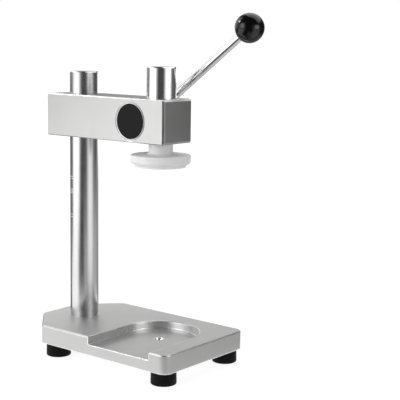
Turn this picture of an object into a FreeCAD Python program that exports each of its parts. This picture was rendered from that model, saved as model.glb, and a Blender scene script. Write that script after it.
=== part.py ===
import FreeCAD, Part

import math
import os

# Jar sealing machine: a bench press that pushes the lid on to a can or jar.
# A lever turns a pinion inside a square arm, the pinion drives a toothed ram down,
# and the arm slides up and down a round column that stands on a footed base.
# Millimetres, +Z up, +X from the column to the ram, +Y to the lever's side.
# The origin is on the floor, under the middle of the whole machine.

Vector = FreeCAD.Vector
AXIS_X = Vector(1, 0, 0)
AXIS_Y = Vector(0, 1, 0)
AXIS_Z = Vector(0, 0, 1)

# Clearances
running_clearance = 0.05
static_clearance = 0.05
face_gap = 0.3
cut_overrun = 1.0

# Base plate
base_width = 125.0
base_thickness = 19.0
base_behind_column = 36.0
base_past_pocket = 21.5
base_chamfer = 36.0
base_corner_radius = 9.0
base_cut_corner_radius = 5.0
base_edge_break = 1.0

# Pocket that the can stands in, open to the front
pocket_width = 81.0
pocket_depth = 8.0
locating_hole_diameter = 5.0
locating_sink_diameter = 10.0
locating_sink_depth = 2.5

# Rubber feet and their fixings
foot_diameter = 25.5
foot_height = 13.5
foot_inset = 14.3
foot_inset_at_column_end = 46.0
foot_edge_break = 1.2
foot_well_room = 0.5
foot_well_depth = 7.5
foot_screw_diameter = 5.0
foot_screw_grip = 9.0
foot_screw_head_diameter = 9.5
foot_screw_head_height = 3.2
foot_washer_diameter = 12.0
foot_washer_thickness = 1.0

# Column and the bolt that holds it
column_diameter = 30.0
column_above_arm = 23.5
column_edge_break = 1.0
column_socket_depth = 4.0
column_bolt_diameter = 10.0
column_bolt_grip = 22.0
column_bolt_head_diameter = 16.0
column_bolt_head_height = 6.0
column_bolt_well_room = 1.0
column_bolt_well_depth = 9.0
column_washer_diameter = 20.0
column_washer_thickness = 2.0

# Arm, a solid square bar
arm_width = 44.0
arm_height = 44.0
arm_above_base = 194.0
arm_behind_column = 34.0
arm_past_ram = 22.0
arm_edge_break = 1.0
arm_end_break = 2.0
arm_bore_edge_break = 0.6

# Clamp screws in the arm's end, with soft pads against the column
clamp_screw_diameter = 8.0
clamp_screw_spacing = 24.0
clamp_screw_recess = 1.0
clamp_pad_diameter = 6.0
clamp_pad_thickness = 2.5

# Ram
ram_from_column = 107.0
ram_diameter = 30.0
ram_above_arm = 31.3
ram_end_inside_arm = 1.0
ram_edge_break = 1.0

# Rack and pinion
gear_module = 1.5
pinion_teeth = 16
pressure_angle = 20.0
gear_backlash = 0.15
rack_line_from_ram_axis = 10.0
pinion_below_arm_middle = 1.0
pinion_room = 0.5
pinion_bush_gap = 0.1

# Lever swing, which sets the ram's travel
lever_swing = 90.0

# Spring chamber in the arm's front face, and the wall behind it
chamber_diameter = 36.2
chamber_depth = 6.5
chamber_edge_break = 1.5
chamber_wall = 5.0
cap_thickness = 2.5
cap_edge_break = 0.5

# Pinion shaft, from the spring arbor at the front to the hub seat at the rear
arbor_diameter = 8.0
front_journal_diameter = 12.0
rear_journal_diameter = 14.0
hub_seat_diameter = 10.0

# Bushes
front_bush_diameter = 16.0
front_bush_flange_diameter = 20.0
front_bush_flange = 1.0
rear_bush_flange_diameter = 40.0
rear_bush_flange = 3.0
rear_bush_past_ram_side = 1.3
rear_screw_count = 3
rear_screw_first_angle = 60.0
rear_screw_diameter = 3.0
rear_screw_length = 9.0
rear_screw_head_diameter = 5.4

# Return spring, a flat strip wound in half turns
spring_strip = 0.5
spring_width = 3.3
spring_half_turn_step = 0.8
spring_half_turns = 7
spring_wall_gap = 2.0
spring_tab_radius = 1.2
spring_tab_end = 1.0
spring_pin_diameter = 3.0
spring_pin_depth = 3.5
arbor_slot_width = 1.3

# Screw that guides the ram and stops it at both ends of its travel
guide_screw_diameter = 6.0
guide_screw_above_arm_bottom = 10.0
guide_screw_recess = 0.5
guide_slot_depth = 3.0
guide_dog_diameter = 5.0

# Lever hub on the rear end of the shaft
hub_diameter = 40.0
hub_thickness = 15.7
hub_edge_break = 1.0
hub_set_screw_diameter = 5.0
hub_set_screw_length = 12.0
hub_end_washer_diameter = 18.0
hub_end_washer_thickness = 1.5
hub_end_screw_diameter = 5.0
hub_end_screw_grip = 12.0
hub_end_screw_head_diameter = 9.5
hub_end_screw_head_height = 3.0

# Lever rod and ball knob
lever_angle = 36.5
lever_offset = 12.7
rod_root_diameter = 9.5
rod_tip_diameter = 8.4
rod_start = 9.0
rod_spigot_diameter = 8.0
rod_spigot_length = 20.0
ball_diameter = 29.0
ball_reach = 139.0
ball_flat_distance = 13.2
insert_diameter = 10.0
insert_length = 14.0
insert_behind_flat = 1.0
rod_thread_diameter = 6.0
rod_thread_length = 12.0

# Press head
neck_diameter = 24.5
neck_below_arm = 11.9
neck_fillet = 2.5
flange_diameter = 60.5
flange_thickness = 9.1
flange_top_break = 0.9
flange_bottom_rounding = 3.0
flange_past_boss = 4.5
boss_height = 3.0
boss_edge_break = 0.7
head_screw_diameter = 8.0
head_screw_grip = 18.0
head_screw_head_diameter = 13.0
head_screw_head_height = 8.0
head_well_room = 0.25
head_well_depth = 10.5
head_washer_diameter = 14.5
head_washer_thickness = 1.5

# Heights worked out from the sizes above
base_bottom = foot_height
base_top = base_bottom + base_thickness
pocket_floor = base_top - pocket_depth
arm_bottom = base_top + arm_above_base
arm_top = arm_bottom + arm_height
pinion_z = arm_bottom + arm_height / 2 - pinion_below_arm_middle
guide_screw_z = arm_bottom + guide_screw_above_arm_bottom

# Widths worked out from what they hold
foot_well_diameter = foot_washer_diameter + 2 * foot_well_room
column_bolt_well_diameter = column_washer_diameter + 2 * column_bolt_well_room
head_well_diameter = head_washer_diameter + 2 * head_well_room
boss_diameter = flange_diameter - 2 * flange_past_boss
base_length = base_behind_column + ram_from_column + pocket_width / 2 + base_past_pocket

# Rack and pinion sizes
pitch_radius = gear_module * pinion_teeth / 2
pinion_from_ram = rack_line_from_ram_axis + pitch_radius
tooth_pitch = math.pi * gear_module
addendum = gear_module
dedendum = 1.25 * gear_module
pinion_tip_radius = pitch_radius + addendum
ram_travel = pitch_radius * math.radians(lever_swing)

# Places across the machine: the lever's ball or the plate's end is furthest right
lever_cos = math.cos(math.radians(lever_angle))
lever_sin = math.sin(math.radians(lever_angle))
pinion_from_column = ram_from_column - pinion_from_ram
ball_from_column = pinion_from_column - lever_offset * lever_sin + ball_reach * lever_cos
right_reach = max(ball_from_column + ball_diameter / 2, base_length - base_behind_column)
column_x = base_behind_column - (base_behind_column + right_reach) / 2
ram_x = column_x + ram_from_column
pinion_x = column_x + pinion_from_column
base_left = column_x - base_behind_column
base_right = base_left + base_length
arm_left = column_x - arm_behind_column

# Places through the arm, from its front face to the end of the hub
arm_front = -arm_width / 2
arm_rear = arm_width / 2
chamber_floor = arm_front + chamber_depth
pinion_chamber_front = chamber_floor + chamber_wall
pinion_front = pinion_chamber_front + front_bush_flange + pinion_bush_gap
rear_bush_inner = ram_diameter / 2 - rear_bush_past_ram_side
rear_bush_length = arm_rear - rear_bush_inner
pinion_rear = rear_bush_inner - pinion_bush_gap
rear_bush_outer = arm_rear + rear_bush_flange
hub_front = rear_bush_outer + face_gap
hub_rear = hub_front + hub_thickness
lever_y = hub_front + hub_thickness / 2
pinion_chamber_radius = pinion_tip_radius + pinion_room
rear_screw_circle = rear_bush_flange_diameter / 2 + pinion_chamber_radius

# The spring's inner end starts at the arbor, and its outer end hooks round the pin
spring_start = arbor_diameter / 2 + spring_tab_radius
spring_hook_radius = spring_pin_diameter / 2 + face_gap + spring_strip / 2
spring_anchor = chamber_diameter / 2 - spring_wall_gap - spring_hook_radius - spring_strip / 2


def cylinder(radius, length, start, direction):
    """A cylinder that grows from start along direction."""
    return Part.makeCylinder(radius, length, start, direction)


def turned(profile, start, direction):
    """A turned piece from (radius, height) points, stood at start along direction."""
    points = [Vector(radius, 0, height) for radius, height in profile]
    face = Part.Face(Part.makePolygon(points + [points[0]]))
    solid = face.revolve(Vector(0, 0, 0), AXIS_Z, 360)
    turn = FreeCAD.Rotation(AXIS_Z, direction)
    solid.Placement = FreeCAD.Placement(start, turn)
    return solid


def stepped_cutter(radius, length, break_size, start, direction, break_start=True, break_end=True):
    """A cutter for a through bore whose mouths have a 45 degree edge break."""
    profile = [(0, -cut_overrun)]
    if break_start:
        profile.append((radius + break_size + cut_overrun, -cut_overrun))
        profile.append((radius, break_size))
    else:
        profile.append((radius, -cut_overrun))
    if break_end:
        profile.append((radius, length - break_size))
        profile.append((radius + break_size + cut_overrun, length + cut_overrun))
    else:
        profile.append((radius, length + cut_overrun))
    profile.append((0, length + cut_overrun))
    return turned(profile, start, direction)


def hex_prism(across_flats, length, start, direction):
    """A hexagonal prism for a socket, along direction."""
    radius = across_flats / math.sqrt(3)
    points = []
    for corner in range(6):
        angle = math.radians(60 * corner)
        points.append(Vector(radius * math.cos(angle), radius * math.sin(angle), 0))
    prism = Part.Face(Part.makePolygon(points + [points[0]])).extrude(Vector(0, 0, length))
    prism.Placement = FreeCAD.Placement(start, FreeCAD.Rotation(AXIS_Z, direction))
    return prism


def head_screw(diameter, grip, head_diameter, head_height, seat, direction):
    """A socket-head screw: seat is under the head, direction runs along the shank."""
    rim = head_height * 0.12
    profile = [
        (0, -head_height),
        (head_diameter / 2 - rim, -head_height),
        (head_diameter / 2, -head_height + rim),
        (head_diameter / 2, 0),
        (diameter / 2, 0),
        (diameter / 2, grip),
        (0, grip),
    ]
    screw = turned(profile, seat, direction)
    top = seat - direction * head_height
    socket_depth = head_height * 0.5
    return screw.cut(hex_prism(head_diameter * 0.5, socket_depth, top, direction))


def set_screw(diameter, length, start, direction):
    """A headless socket screw from start along direction, with its socket at start."""
    rim = diameter * 0.1
    profile = [
        (0, 0),
        (diameter / 2 - rim, 0),
        (diameter / 2, rim),
        (diameter / 2, length - rim),
        (diameter / 2 - rim, length),
        (0, length),
    ]
    screw = turned(profile, start, direction)
    return screw.cut(hex_prism(diameter * 0.5, diameter * 0.5, start, direction))


def washer(outer, bore, thickness, start, direction):
    """A flat ring from start along direction."""
    ring = cylinder(outer / 2, thickness, start, direction)
    reach = thickness + 2 * cut_overrun
    return ring.cut(cylinder(bore / 2, reach, start - direction * cut_overrun, direction))


def rims_at(shape, rims):
    """The round edges of an upright turned shape at given (radius, height) pairs."""
    found = []
    for edge in shape.Edges:
        curve = edge.Curve
        if not isinstance(curve, Part.Circle):
            continue
        for radius, height in rims:
            if abs(curve.Radius - radius) < 0.01 and abs(curve.Center.z - height) < 0.01:
                found.append(edge)
    return found


def cut_corner_face(corner, first_side, second_side, cut):
    """A rectangle between two sides from corner, with its four corners cut at 45 degrees."""
    step_one = first_side / first_side.Length * cut
    step_two = second_side / second_side.Length * cut
    points = [
        corner + step_one,
        corner + first_side - step_one,
        corner + first_side + step_two,
        corner + first_side + second_side - step_two,
        corner + first_side + second_side - step_one,
        corner + second_side + step_one,
        corner + second_side - step_two,
        corner + step_two,
    ]
    return Part.Face(Part.makePolygon(points + [points[0]]))


def foot_places():
    """Each foot's name and the point of the plate's underside that it stands under."""
    near_x = base_left + foot_inset_at_column_end
    far_x = base_right - foot_inset
    side_y = base_width / 2 - foot_inset
    return {
        "foot_column_front": Vector(near_x, -side_y, base_bottom),
        "foot_column_rear": Vector(near_x, side_y, base_bottom),
        "foot_can_front": Vector(far_x, -side_y, base_bottom),
        "foot_can_rear": Vector(far_x, side_y, base_bottom),
    }


def base_outline():
    """The plate's plan: cut corners behind the column, rounded corners at the can's end."""
    half = base_width / 2
    cut = base_chamfer
    corner = base_corner_radius
    inner = corner * (1 - math.sqrt(0.5))
    z = base_bottom
    points = [
        Vector(base_left + cut, -half, z),
        Vector(base_right - corner, -half, z),
        Vector(base_right - inner, -half + inner, z),
        Vector(base_right, -half + corner, z),
        Vector(base_right, half - corner, z),
        Vector(base_right - inner, half - inner, z),
        Vector(base_right - corner, half, z),
        Vector(base_left + cut, half, z),
        Vector(base_left, half - cut, z),
        Vector(base_left, -half + cut, z),
    ]
    edges = [
        Part.LineSegment(points[0], points[1]).toShape(),
        Part.Arc(points[1], points[2], points[3]).toShape(),
        Part.LineSegment(points[3], points[4]).toShape(),
        Part.Arc(points[4], points[5], points[6]).toShape(),
        Part.LineSegment(points[6], points[7]).toShape(),
        Part.LineSegment(points[7], points[8]).toShape(),
        Part.LineSegment(points[8], points[9]).toShape(),
        Part.LineSegment(points[9], points[0]).toShape(),
    ]
    return Part.Wire(edges)


def base_plate():
    """The plate with the can's pocket, the column's socket and the screw holes."""
    plate = Part.Face(base_outline()).extrude(Vector(0, 0, base_thickness))
    cut_corners = []
    for edge in plate.Edges:
        box = edge.BoundBox
        upright = box.ZLength > base_thickness / 2
        if upright and box.XMax < base_left + base_chamfer + cut_overrun:
            cut_corners.append(edge)
    plate = plate.makeFillet(base_cut_corner_radius, cut_corners)
    half_pocket = pocket_width / 2
    slot_length = base_width / 2 + cut_overrun
    slot = Part.makeBox(
        pocket_width,
        slot_length,
        pocket_depth + cut_overrun,
        Vector(ram_x - half_pocket, -slot_length, pocket_floor),
    )
    round_end = cylinder(half_pocket, pocket_depth + cut_overrun, Vector(ram_x, 0, pocket_floor), AXIS_Z)
    plate = plate.cut(slot.fuse(round_end).removeSplitter())
    top_edges = []
    for edge in plate.Edges:
        box = edge.BoundBox
        if abs(box.ZMin - base_top) < 0.001 and abs(box.ZMax - base_top) < 0.001:
            top_edges.append(edge)
    plate = plate.makeChamfer(base_edge_break, top_edges)

    socket_radius = column_diameter / 2 + static_clearance
    socket_floor = base_top - column_socket_depth
    cutters = [
        cylinder(
            socket_radius,
            column_socket_depth + cut_overrun,
            Vector(column_x, 0, socket_floor),
            AXIS_Z,
        ),
        cylinder(
            column_bolt_diameter / 2 + static_clearance,
            base_thickness,
            Vector(column_x, 0, base_bottom),
            AXIS_Z,
        ),
        cylinder(
            column_bolt_well_diameter / 2,
            column_bolt_well_depth + cut_overrun,
            Vector(column_x, 0, base_bottom - cut_overrun),
            AXIS_Z,
        ),
        cylinder(
            locating_hole_diameter / 2,
            base_thickness,
            Vector(ram_x, 0, base_bottom - cut_overrun),
            AXIS_Z,
        ),
        turned(
            [
                (0, -locating_sink_depth),
                (locating_hole_diameter / 2, -locating_sink_depth),
                (locating_sink_diameter / 2, 0),
                (locating_sink_diameter / 2, cut_overrun),
                (0, cut_overrun),
            ],
            Vector(ram_x, 0, pocket_floor),
            AXIS_Z,
        ),
    ]
    for place in foot_places().values():
        cutters.append(
            cylinder(
                foot_screw_diameter / 2 + static_clearance,
                foot_screw_grip + 2 * cut_overrun,
                place - AXIS_Z * cut_overrun,
                AXIS_Z,
            )
        )
    return plate.cut(cutters)


def foot(place):
    """A rubber foot with a well underneath for its screw and washer."""
    floor = place - AXIS_Z * foot_height
    profile = [
        (0, 0),
        (foot_diameter / 2 - foot_edge_break, 0),
        (foot_diameter / 2, foot_edge_break),
        (foot_diameter / 2, foot_height),
        (0, foot_height),
    ]
    body = turned(profile, floor, AXIS_Z)
    well = cylinder(
        foot_well_diameter / 2,
        foot_well_depth + cut_overrun,
        floor - AXIS_Z * cut_overrun,
        AXIS_Z,
    )
    hole = cylinder(foot_screw_diameter / 2 + static_clearance, foot_height + cut_overrun, floor, AXIS_Z)
    return body.cut([well, hole])


def foot_washers():
    """Four washers, one against the roof of each foot's well."""
    rings = []
    for place in foot_places().values():
        roof = place - AXIS_Z * (foot_height - foot_well_depth)
        rings.append(
            washer(
                foot_washer_diameter,
                foot_screw_diameter + 2 * static_clearance,
                foot_washer_thickness,
                roof - AXIS_Z * foot_washer_thickness,
                AXIS_Z,
            )
        )
    return Part.makeCompound(rings)


def foot_screws():
    """Four screws that go up through the feet into the plate."""
    screws = []
    foot_roof = foot_height - foot_well_depth
    for place in foot_places().values():
        seat = place - AXIS_Z * (foot_roof + foot_washer_thickness)
        grip = foot_screw_grip + foot_roof + foot_washer_thickness
        screws.append(
            head_screw(
                foot_screw_diameter,
                grip,
                foot_screw_head_diameter,
                foot_screw_head_height,
                seat,
                AXIS_Z,
            )
        )
    return Part.makeCompound(screws)


def column():
    """The round column, with a tapped hole in its foot."""
    bottom = base_top - column_socket_depth
    length = arm_top + column_above_arm - bottom
    radius = column_diameter / 2
    profile = [
        (0, 0),
        (radius - column_edge_break, 0),
        (radius, column_edge_break),
        (radius, length - column_edge_break),
        (radius - column_edge_break, length),
        (0, length),
    ]
    post = turned(profile, Vector(column_x, 0, bottom), AXIS_Z)
    hole = cylinder(
        column_bolt_diameter / 2 + static_clearance,
        column_bolt_grip + 2 * cut_overrun,
        Vector(column_x, 0, bottom - cut_overrun),
        AXIS_Z,
    )
    return post.cut(hole)


def column_washer():
    """The washer against the roof of the bolt's well."""
    roof = Vector(column_x, 0, base_bottom + column_bolt_well_depth)
    return washer(
        column_washer_diameter,
        column_bolt_diameter + 2 * static_clearance,
        column_washer_thickness,
        roof - AXIS_Z * column_washer_thickness,
        AXIS_Z,
    )


def column_bolt():
    """The bolt that pulls the column down on to the plate."""
    seat_z = base_bottom + column_bolt_well_depth - column_washer_thickness
    column_bottom = base_top - column_socket_depth
    return head_screw(
        column_bolt_diameter,
        column_bottom + column_bolt_grip - seat_z,
        column_bolt_head_diameter,
        column_bolt_head_height,
        Vector(column_x, 0, seat_z),
        AXIS_Z,
    )


def clamp_places():
    """The mouths of the two clamp screw holes in the arm's column end."""
    middle = arm_bottom + arm_height / 2
    return [
        Vector(arm_left, 0, middle - clamp_screw_spacing / 2),
        Vector(arm_left, 0, middle + clamp_screw_spacing / 2),
    ]


def rear_screw_places(y):
    """The rear bush's screw centres in the plane at y."""
    places = []
    for number in range(rear_screw_count):
        angle = math.radians(rear_screw_first_angle + number * 360 / rear_screw_count)
        x = pinion_x + rear_screw_circle / 2 * math.cos(angle)
        z = pinion_z + rear_screw_circle / 2 * math.sin(angle)
        places.append(Vector(x, y, z))
    return places


def spring_pin_place():
    """The centre of the spring's anchor pin on the chamber floor."""
    return Vector(pinion_x - spring_anchor, chamber_floor, pinion_z)


def arm_block():
    """The square arm with its bores for the column, the ram and the pinion."""
    corner = Vector(arm_left, arm_front, arm_bottom)
    along = AXIS_X * (arm_behind_column + ram_from_column + arm_past_ram)
    across = AXIS_Y * arm_width
    up = AXIS_Z * arm_height
    section = cut_corner_face(corner, across, up, arm_edge_break).extrude(along)
    side = cut_corner_face(corner, along, up, arm_end_break).extrude(across)
    plan = cut_corner_face(corner, along, across, arm_end_break).extrude(up)
    bar = section.common(side).common(plan)
    cutters = [
        stepped_cutter(
            column_diameter / 2 + running_clearance,
            arm_height,
            arm_bore_edge_break,
            Vector(column_x, 0, arm_bottom),
            AXIS_Z,
        ),
        stepped_cutter(
            ram_diameter / 2 + running_clearance,
            arm_height,
            arm_bore_edge_break,
            Vector(ram_x, 0, arm_bottom),
            AXIS_Z,
        ),
        stepped_cutter(
            chamber_diameter / 2,
            chamber_depth - cut_overrun,
            chamber_edge_break,
            Vector(pinion_x, arm_front, pinion_z),
            AXIS_Y,
            break_end=False,
        ),
        cylinder(
            front_bush_diameter / 2 + static_clearance,
            chamber_wall + 2 * cut_overrun,
            Vector(pinion_x, chamber_floor - cut_overrun, pinion_z),
            AXIS_Y,
        ),
        cylinder(
            pinion_chamber_radius,
            arm_rear - pinion_chamber_front + cut_overrun,
            Vector(pinion_x, pinion_chamber_front, pinion_z),
            AXIS_Y,
        ),
        cylinder(
            spring_pin_diameter / 2 + static_clearance,
            spring_pin_depth + static_clearance + cut_overrun,
            spring_pin_place() - AXIS_Y * cut_overrun,
            AXIS_Y,
        ),
        cylinder(
            guide_screw_diameter / 2 + static_clearance,
            arm_width / 2 + cut_overrun,
            Vector(ram_x, arm_rear + cut_overrun, guide_screw_z),
            -AXIS_Y,
        ),
    ]
    for mouth in clamp_places():
        cutters.append(
            cylinder(
                clamp_screw_diameter / 2 + static_clearance,
                arm_behind_column + cut_overrun,
                mouth - AXIS_X * cut_overrun,
                AXIS_X,
            )
        )
    for place in rear_screw_places(arm_rear + cut_overrun):
        depth = rear_screw_length - rear_bush_flange + 2 * cut_overrun
        cutters.append(cylinder(rear_screw_diameter / 2 + static_clearance, depth, place, -AXIS_Y))
    return bar.cut(cutters)


def clamp_pads():
    """Soft pads that the clamp screws push against the column."""
    column_face = column_x - column_diameter / 2 - 2 * running_clearance
    pads = []
    for mouth in clamp_places():
        start = Vector(column_face - clamp_pad_thickness, mouth.y, mouth.z)
        pad = cylinder(clamp_pad_diameter / 2, clamp_pad_thickness + clamp_pad_diameter, start, AXIS_X)
        hollow = cylinder(
            column_diameter / 2 + 2 * running_clearance,
            clamp_screw_diameter * 2,
            Vector(column_x, 0, mouth.z - clamp_screw_diameter),
            AXIS_Z,
        )
        pads.append(pad.cut(hollow))
    return Part.makeCompound(pads)


def clamp_screws():
    """The two clamp screws in the arm's end."""
    pad_back = column_x - column_diameter / 2 - 2 * running_clearance - clamp_pad_thickness
    length = pad_back - arm_left - clamp_screw_recess
    screws = []
    for mouth in clamp_places():
        screws.append(set_screw(clamp_screw_diameter, length, mouth + AXIS_X * clamp_screw_recess, AXIS_X))
    return Part.makeCompound(screws)


def rack_window():
    """The lowest and highest z of the rack on the ram at rest."""
    ram_face = pinion_from_ram - ram_diameter / 2
    reach = math.sqrt(pinion_chamber_radius**2 - ram_face**2) + gear_module
    return pinion_z - reach, pinion_z + ram_travel + reach


def rack_cutters():
    """The flat and the tooth gaps that are cut into the ram's column side."""
    low, high = rack_window()
    pitch_x = ram_x - pinion_from_ram + pitch_radius
    tip_x = pitch_x - addendum
    root_x = pitch_x + dedendum
    half_width = ram_diameter / 2 + cut_overrun
    flat = Part.makeBox(
        ram_diameter,
        2 * half_width,
        high - low,
        Vector(tip_x - ram_diameter, -half_width, low),
    )
    cutters = [flat]
    slope = math.tan(math.radians(pressure_angle))
    half_gap = tooth_pitch / 4 + gear_backlash / 2
    first = math.ceil((low + tooth_pitch / 2 - pinion_z) / tooth_pitch)
    last = math.floor((high - tooth_pitch / 2 - pinion_z) / tooth_pitch)
    for number in range(first, last + 1):
        z = pinion_z + number * tooth_pitch
        mouth = half_gap + (addendum + cut_overrun) * slope
        foot_half = half_gap - dedendum * slope
        points = [
            Vector(tip_x - cut_overrun, -half_width, z - mouth),
            Vector(root_x, -half_width, z - foot_half),
            Vector(root_x, -half_width, z + foot_half),
            Vector(tip_x - cut_overrun, -half_width, z + mouth),
        ]
        face = Part.Face(Part.makePolygon(points + [points[0]]))
        cutters.append(face.extrude(Vector(0, 2 * half_width, 0)))
    return cutters


def guide_slot():
    """The slot in the ram's rear that the guide screw runs in."""
    radius = guide_dog_diameter / 2 + face_gap
    depth = guide_slot_depth + cut_overrun
    start = Vector(ram_x, ram_diameter / 2 + cut_overrun, guide_screw_z)
    lower = cylinder(radius, depth, start, -AXIS_Y)
    upper = cylinder(radius, depth, start + AXIS_Z * ram_travel, -AXIS_Y)
    middle = Part.makeBox(
        2 * radius,
        depth,
        ram_travel,
        Vector(ram_x - radius, ram_diameter / 2 - guide_slot_depth, guide_screw_z),
    )
    return lower.fuse([upper, middle]).removeSplitter()


def ram():
    """The round ram: toothed on the column's side, slotted at the rear."""
    bottom = arm_bottom + ram_end_inside_arm
    length = arm_top + ram_above_arm - bottom
    radius = ram_diameter / 2
    profile = [
        (0, 0),
        (radius - ram_edge_break, 0),
        (radius, ram_edge_break),
        (radius, length - ram_edge_break),
        (radius - ram_edge_break, length),
        (0, length),
    ]
    rod = turned(profile, Vector(ram_x, 0, bottom), AXIS_Z)
    hole = cylinder(
        head_screw_diameter / 2 + static_clearance,
        head_screw_grip + 2 * cut_overrun,
        Vector(ram_x, 0, bottom - cut_overrun),
        AXIS_Z,
    )
    return rod.cut(rack_cutters() + [guide_slot(), hole])


def guide_screw():
    """A screw in the arm's rear whose dog point runs in the ram's slot."""
    start = Vector(ram_x, arm_rear - guide_screw_recess, guide_screw_z)
    bore_face = ram_diameter / 2 + running_clearance
    thread_length = arm_rear - guide_screw_recess - bore_face - face_gap
    screw = set_screw(guide_screw_diameter, thread_length, start, -AXIS_Y)
    dog_length = guide_slot_depth
    dog = cylinder(guide_dog_diameter / 2, dog_length, start - AXIS_Y * thread_length, -AXIS_Y)
    return screw.fuse(dog).removeSplitter()


def press_head():
    """The nylon head: a neck under the ram, a wide flange and a boss for the lid."""
    top = arm_bottom + ram_end_inside_arm
    flange_top = arm_bottom - neck_below_arm
    flange_bottom = flange_top - flange_thickness
    bottom = flange_bottom - boss_height
    boss_radius = boss_diameter / 2
    flange_radius = flange_diameter / 2
    neck_radius = neck_diameter / 2
    profile = [
        (0, bottom),
        (boss_radius - boss_edge_break, bottom),
        (boss_radius, bottom + boss_edge_break),
        (boss_radius, flange_bottom),
        (flange_radius, flange_bottom),
        (flange_radius, flange_top - flange_top_break),
        (flange_radius - flange_top_break, flange_top),
        (neck_radius, flange_top),
        (neck_radius, top),
        (0, top),
    ]
    head = turned(profile, Vector(0, 0, 0), AXIS_Z)
    head = head.makeFillet(flange_bottom_rounding, rims_at(head, [(flange_radius, flange_bottom)]))
    head = head.makeFillet(neck_fillet, rims_at(head, [(neck_radius, flange_top)]))
    head.translate(Vector(ram_x, 0, 0))
    well = cylinder(
        head_well_diameter / 2,
        head_well_depth + cut_overrun,
        Vector(ram_x, 0, bottom - cut_overrun),
        AXIS_Z,
    )
    hole_radius = head_screw_diameter / 2 + static_clearance
    hole = cylinder(hole_radius, top - bottom, Vector(ram_x, 0, bottom), AXIS_Z)
    return head.cut([well, hole])


def head_well_roof():
    """The z of the roof of the press head's screw well."""
    bottom = arm_bottom - neck_below_arm - flange_thickness - boss_height
    return bottom + head_well_depth


def press_head_washer():
    """The washer against the roof of the press head's well."""
    start = Vector(ram_x, 0, head_well_roof() - head_washer_thickness)
    bore = head_screw_diameter + 2 * static_clearance
    return washer(head_washer_diameter, bore, head_washer_thickness, start, AXIS_Z)


def press_head_screw():
    """The screw that holds the press head under the ram."""
    seat_z = head_well_roof() - head_washer_thickness
    ram_bottom = arm_bottom + ram_end_inside_arm
    return head_screw(
        head_screw_diameter,
        ram_bottom + head_screw_grip - seat_z,
        head_screw_head_diameter,
        head_screw_head_height,
        Vector(ram_x, 0, seat_z),
        AXIS_Z,
    )


def involute_flank(base_radius, start_radius, end_radius, steps):
    """Points (radius, angle) of an involute from start_radius to end_radius."""
    points = []
    for step in range(steps + 1):
        radius = start_radius + (end_radius - start_radius) * step / steps
        roll = math.sqrt(max((radius / base_radius) ** 2 - 1, 0))
        points.append((radius, roll - math.atan(roll)))
    return points


def pinion_teeth_solid():
    """The toothed length of the shaft, with one tooth pointing at the rack."""
    base_radius = pitch_radius * math.cos(math.radians(pressure_angle))
    root_radius = pitch_radius - dedendum
    flank = involute_flank(base_radius, base_radius, pinion_tip_radius, 5)
    pitch_roll = math.tan(math.radians(pressure_angle)) - math.radians(pressure_angle)
    half_tooth = (tooth_pitch / 2 - gear_backlash) / (2 * pitch_radius)
    half_base = half_tooth + pitch_roll
    length = pinion_rear - pinion_front

    def at(radius, angle):
        x = pinion_x + radius * math.cos(angle)
        z = pinion_z + radius * math.sin(angle)
        return Vector(x, pinion_front, z)

    edges = []
    pitch_turn = 2 * math.pi / pinion_teeth
    for tooth in range(pinion_teeth):
        centre = tooth * pitch_turn
        rising = [at(radius, centre - half_base + turn) for radius, turn in flank]
        falling = [at(radius, centre + half_base - turn) for radius, turn in reversed(flank)]
        root_start = at(root_radius, centre - half_base)
        root_end = at(root_radius, centre + half_base)
        next_root = at(root_radius, centre + pitch_turn - half_base)
        tip_turn = half_base - flank[-1][1]
        rise = Part.BSplineCurve()
        rise.interpolate(rising)
        fall = Part.BSplineCurve()
        fall.interpolate(falling)
        edges.append(Part.LineSegment(root_start, rising[0]).toShape())
        edges.append(rise.toShape())
        edges.append(
            Part.Arc(
                at(pinion_tip_radius, centre - tip_turn),
                at(pinion_tip_radius, centre),
                at(pinion_tip_radius, centre + tip_turn),
            ).toShape()
        )
        edges.append(fall.toShape())
        edges.append(Part.LineSegment(falling[-1], root_end).toShape())
        root_middle = at(root_radius, centre + pitch_turn / 2)
        edges.append(Part.Arc(root_end, root_middle, next_root).toShape())
    return Part.Face(Part.Wire(edges)).extrude(Vector(0, length, 0))


def pinion_shaft():
    """The shaft with its teeth, journals, spring arbor and hub seat."""
    arbor_front = arm_front + cap_thickness + face_gap
    journal_front = chamber_floor + static_clearance
    seat_rear = hub_rear - face_gap
    teeth = pinion_teeth_solid()
    centre = Vector(pinion_x, 0, pinion_z)
    arbor = cylinder(arbor_diameter / 2, journal_front - arbor_front, centre + AXIS_Y * arbor_front, AXIS_Y)
    journal = cylinder(
        front_journal_diameter / 2,
        pinion_front - journal_front,
        centre + AXIS_Y * journal_front,
        AXIS_Y,
    )
    rear_length = hub_front - pinion_rear
    rear = cylinder(rear_journal_diameter / 2, rear_length, centre + AXIS_Y * pinion_rear, AXIS_Y)
    seat = cylinder(hub_seat_diameter / 2, seat_rear - hub_front, centre + AXIS_Y * hub_front, AXIS_Y)
    shaft = teeth.fuse([arbor, journal, rear, seat]).removeSplitter()
    slot = Part.makeBox(
        arbor_diameter,
        journal_front - arbor_front + cut_overrun - static_clearance,
        arbor_slot_width,
        Vector(
            pinion_x + spring_tab_end - spring_strip,
            arbor_front - cut_overrun,
            pinion_z - spring_tab_radius - arbor_slot_width / 2,
        ),
    )
    tapped = cylinder(
        hub_end_screw_diameter / 2 + static_clearance,
        hub_end_screw_grip + cut_overrun,
        centre + AXIS_Y * (seat_rear + cut_overrun),
        -AXIS_Y,
    )
    return shaft.cut([slot, tapped])


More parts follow.
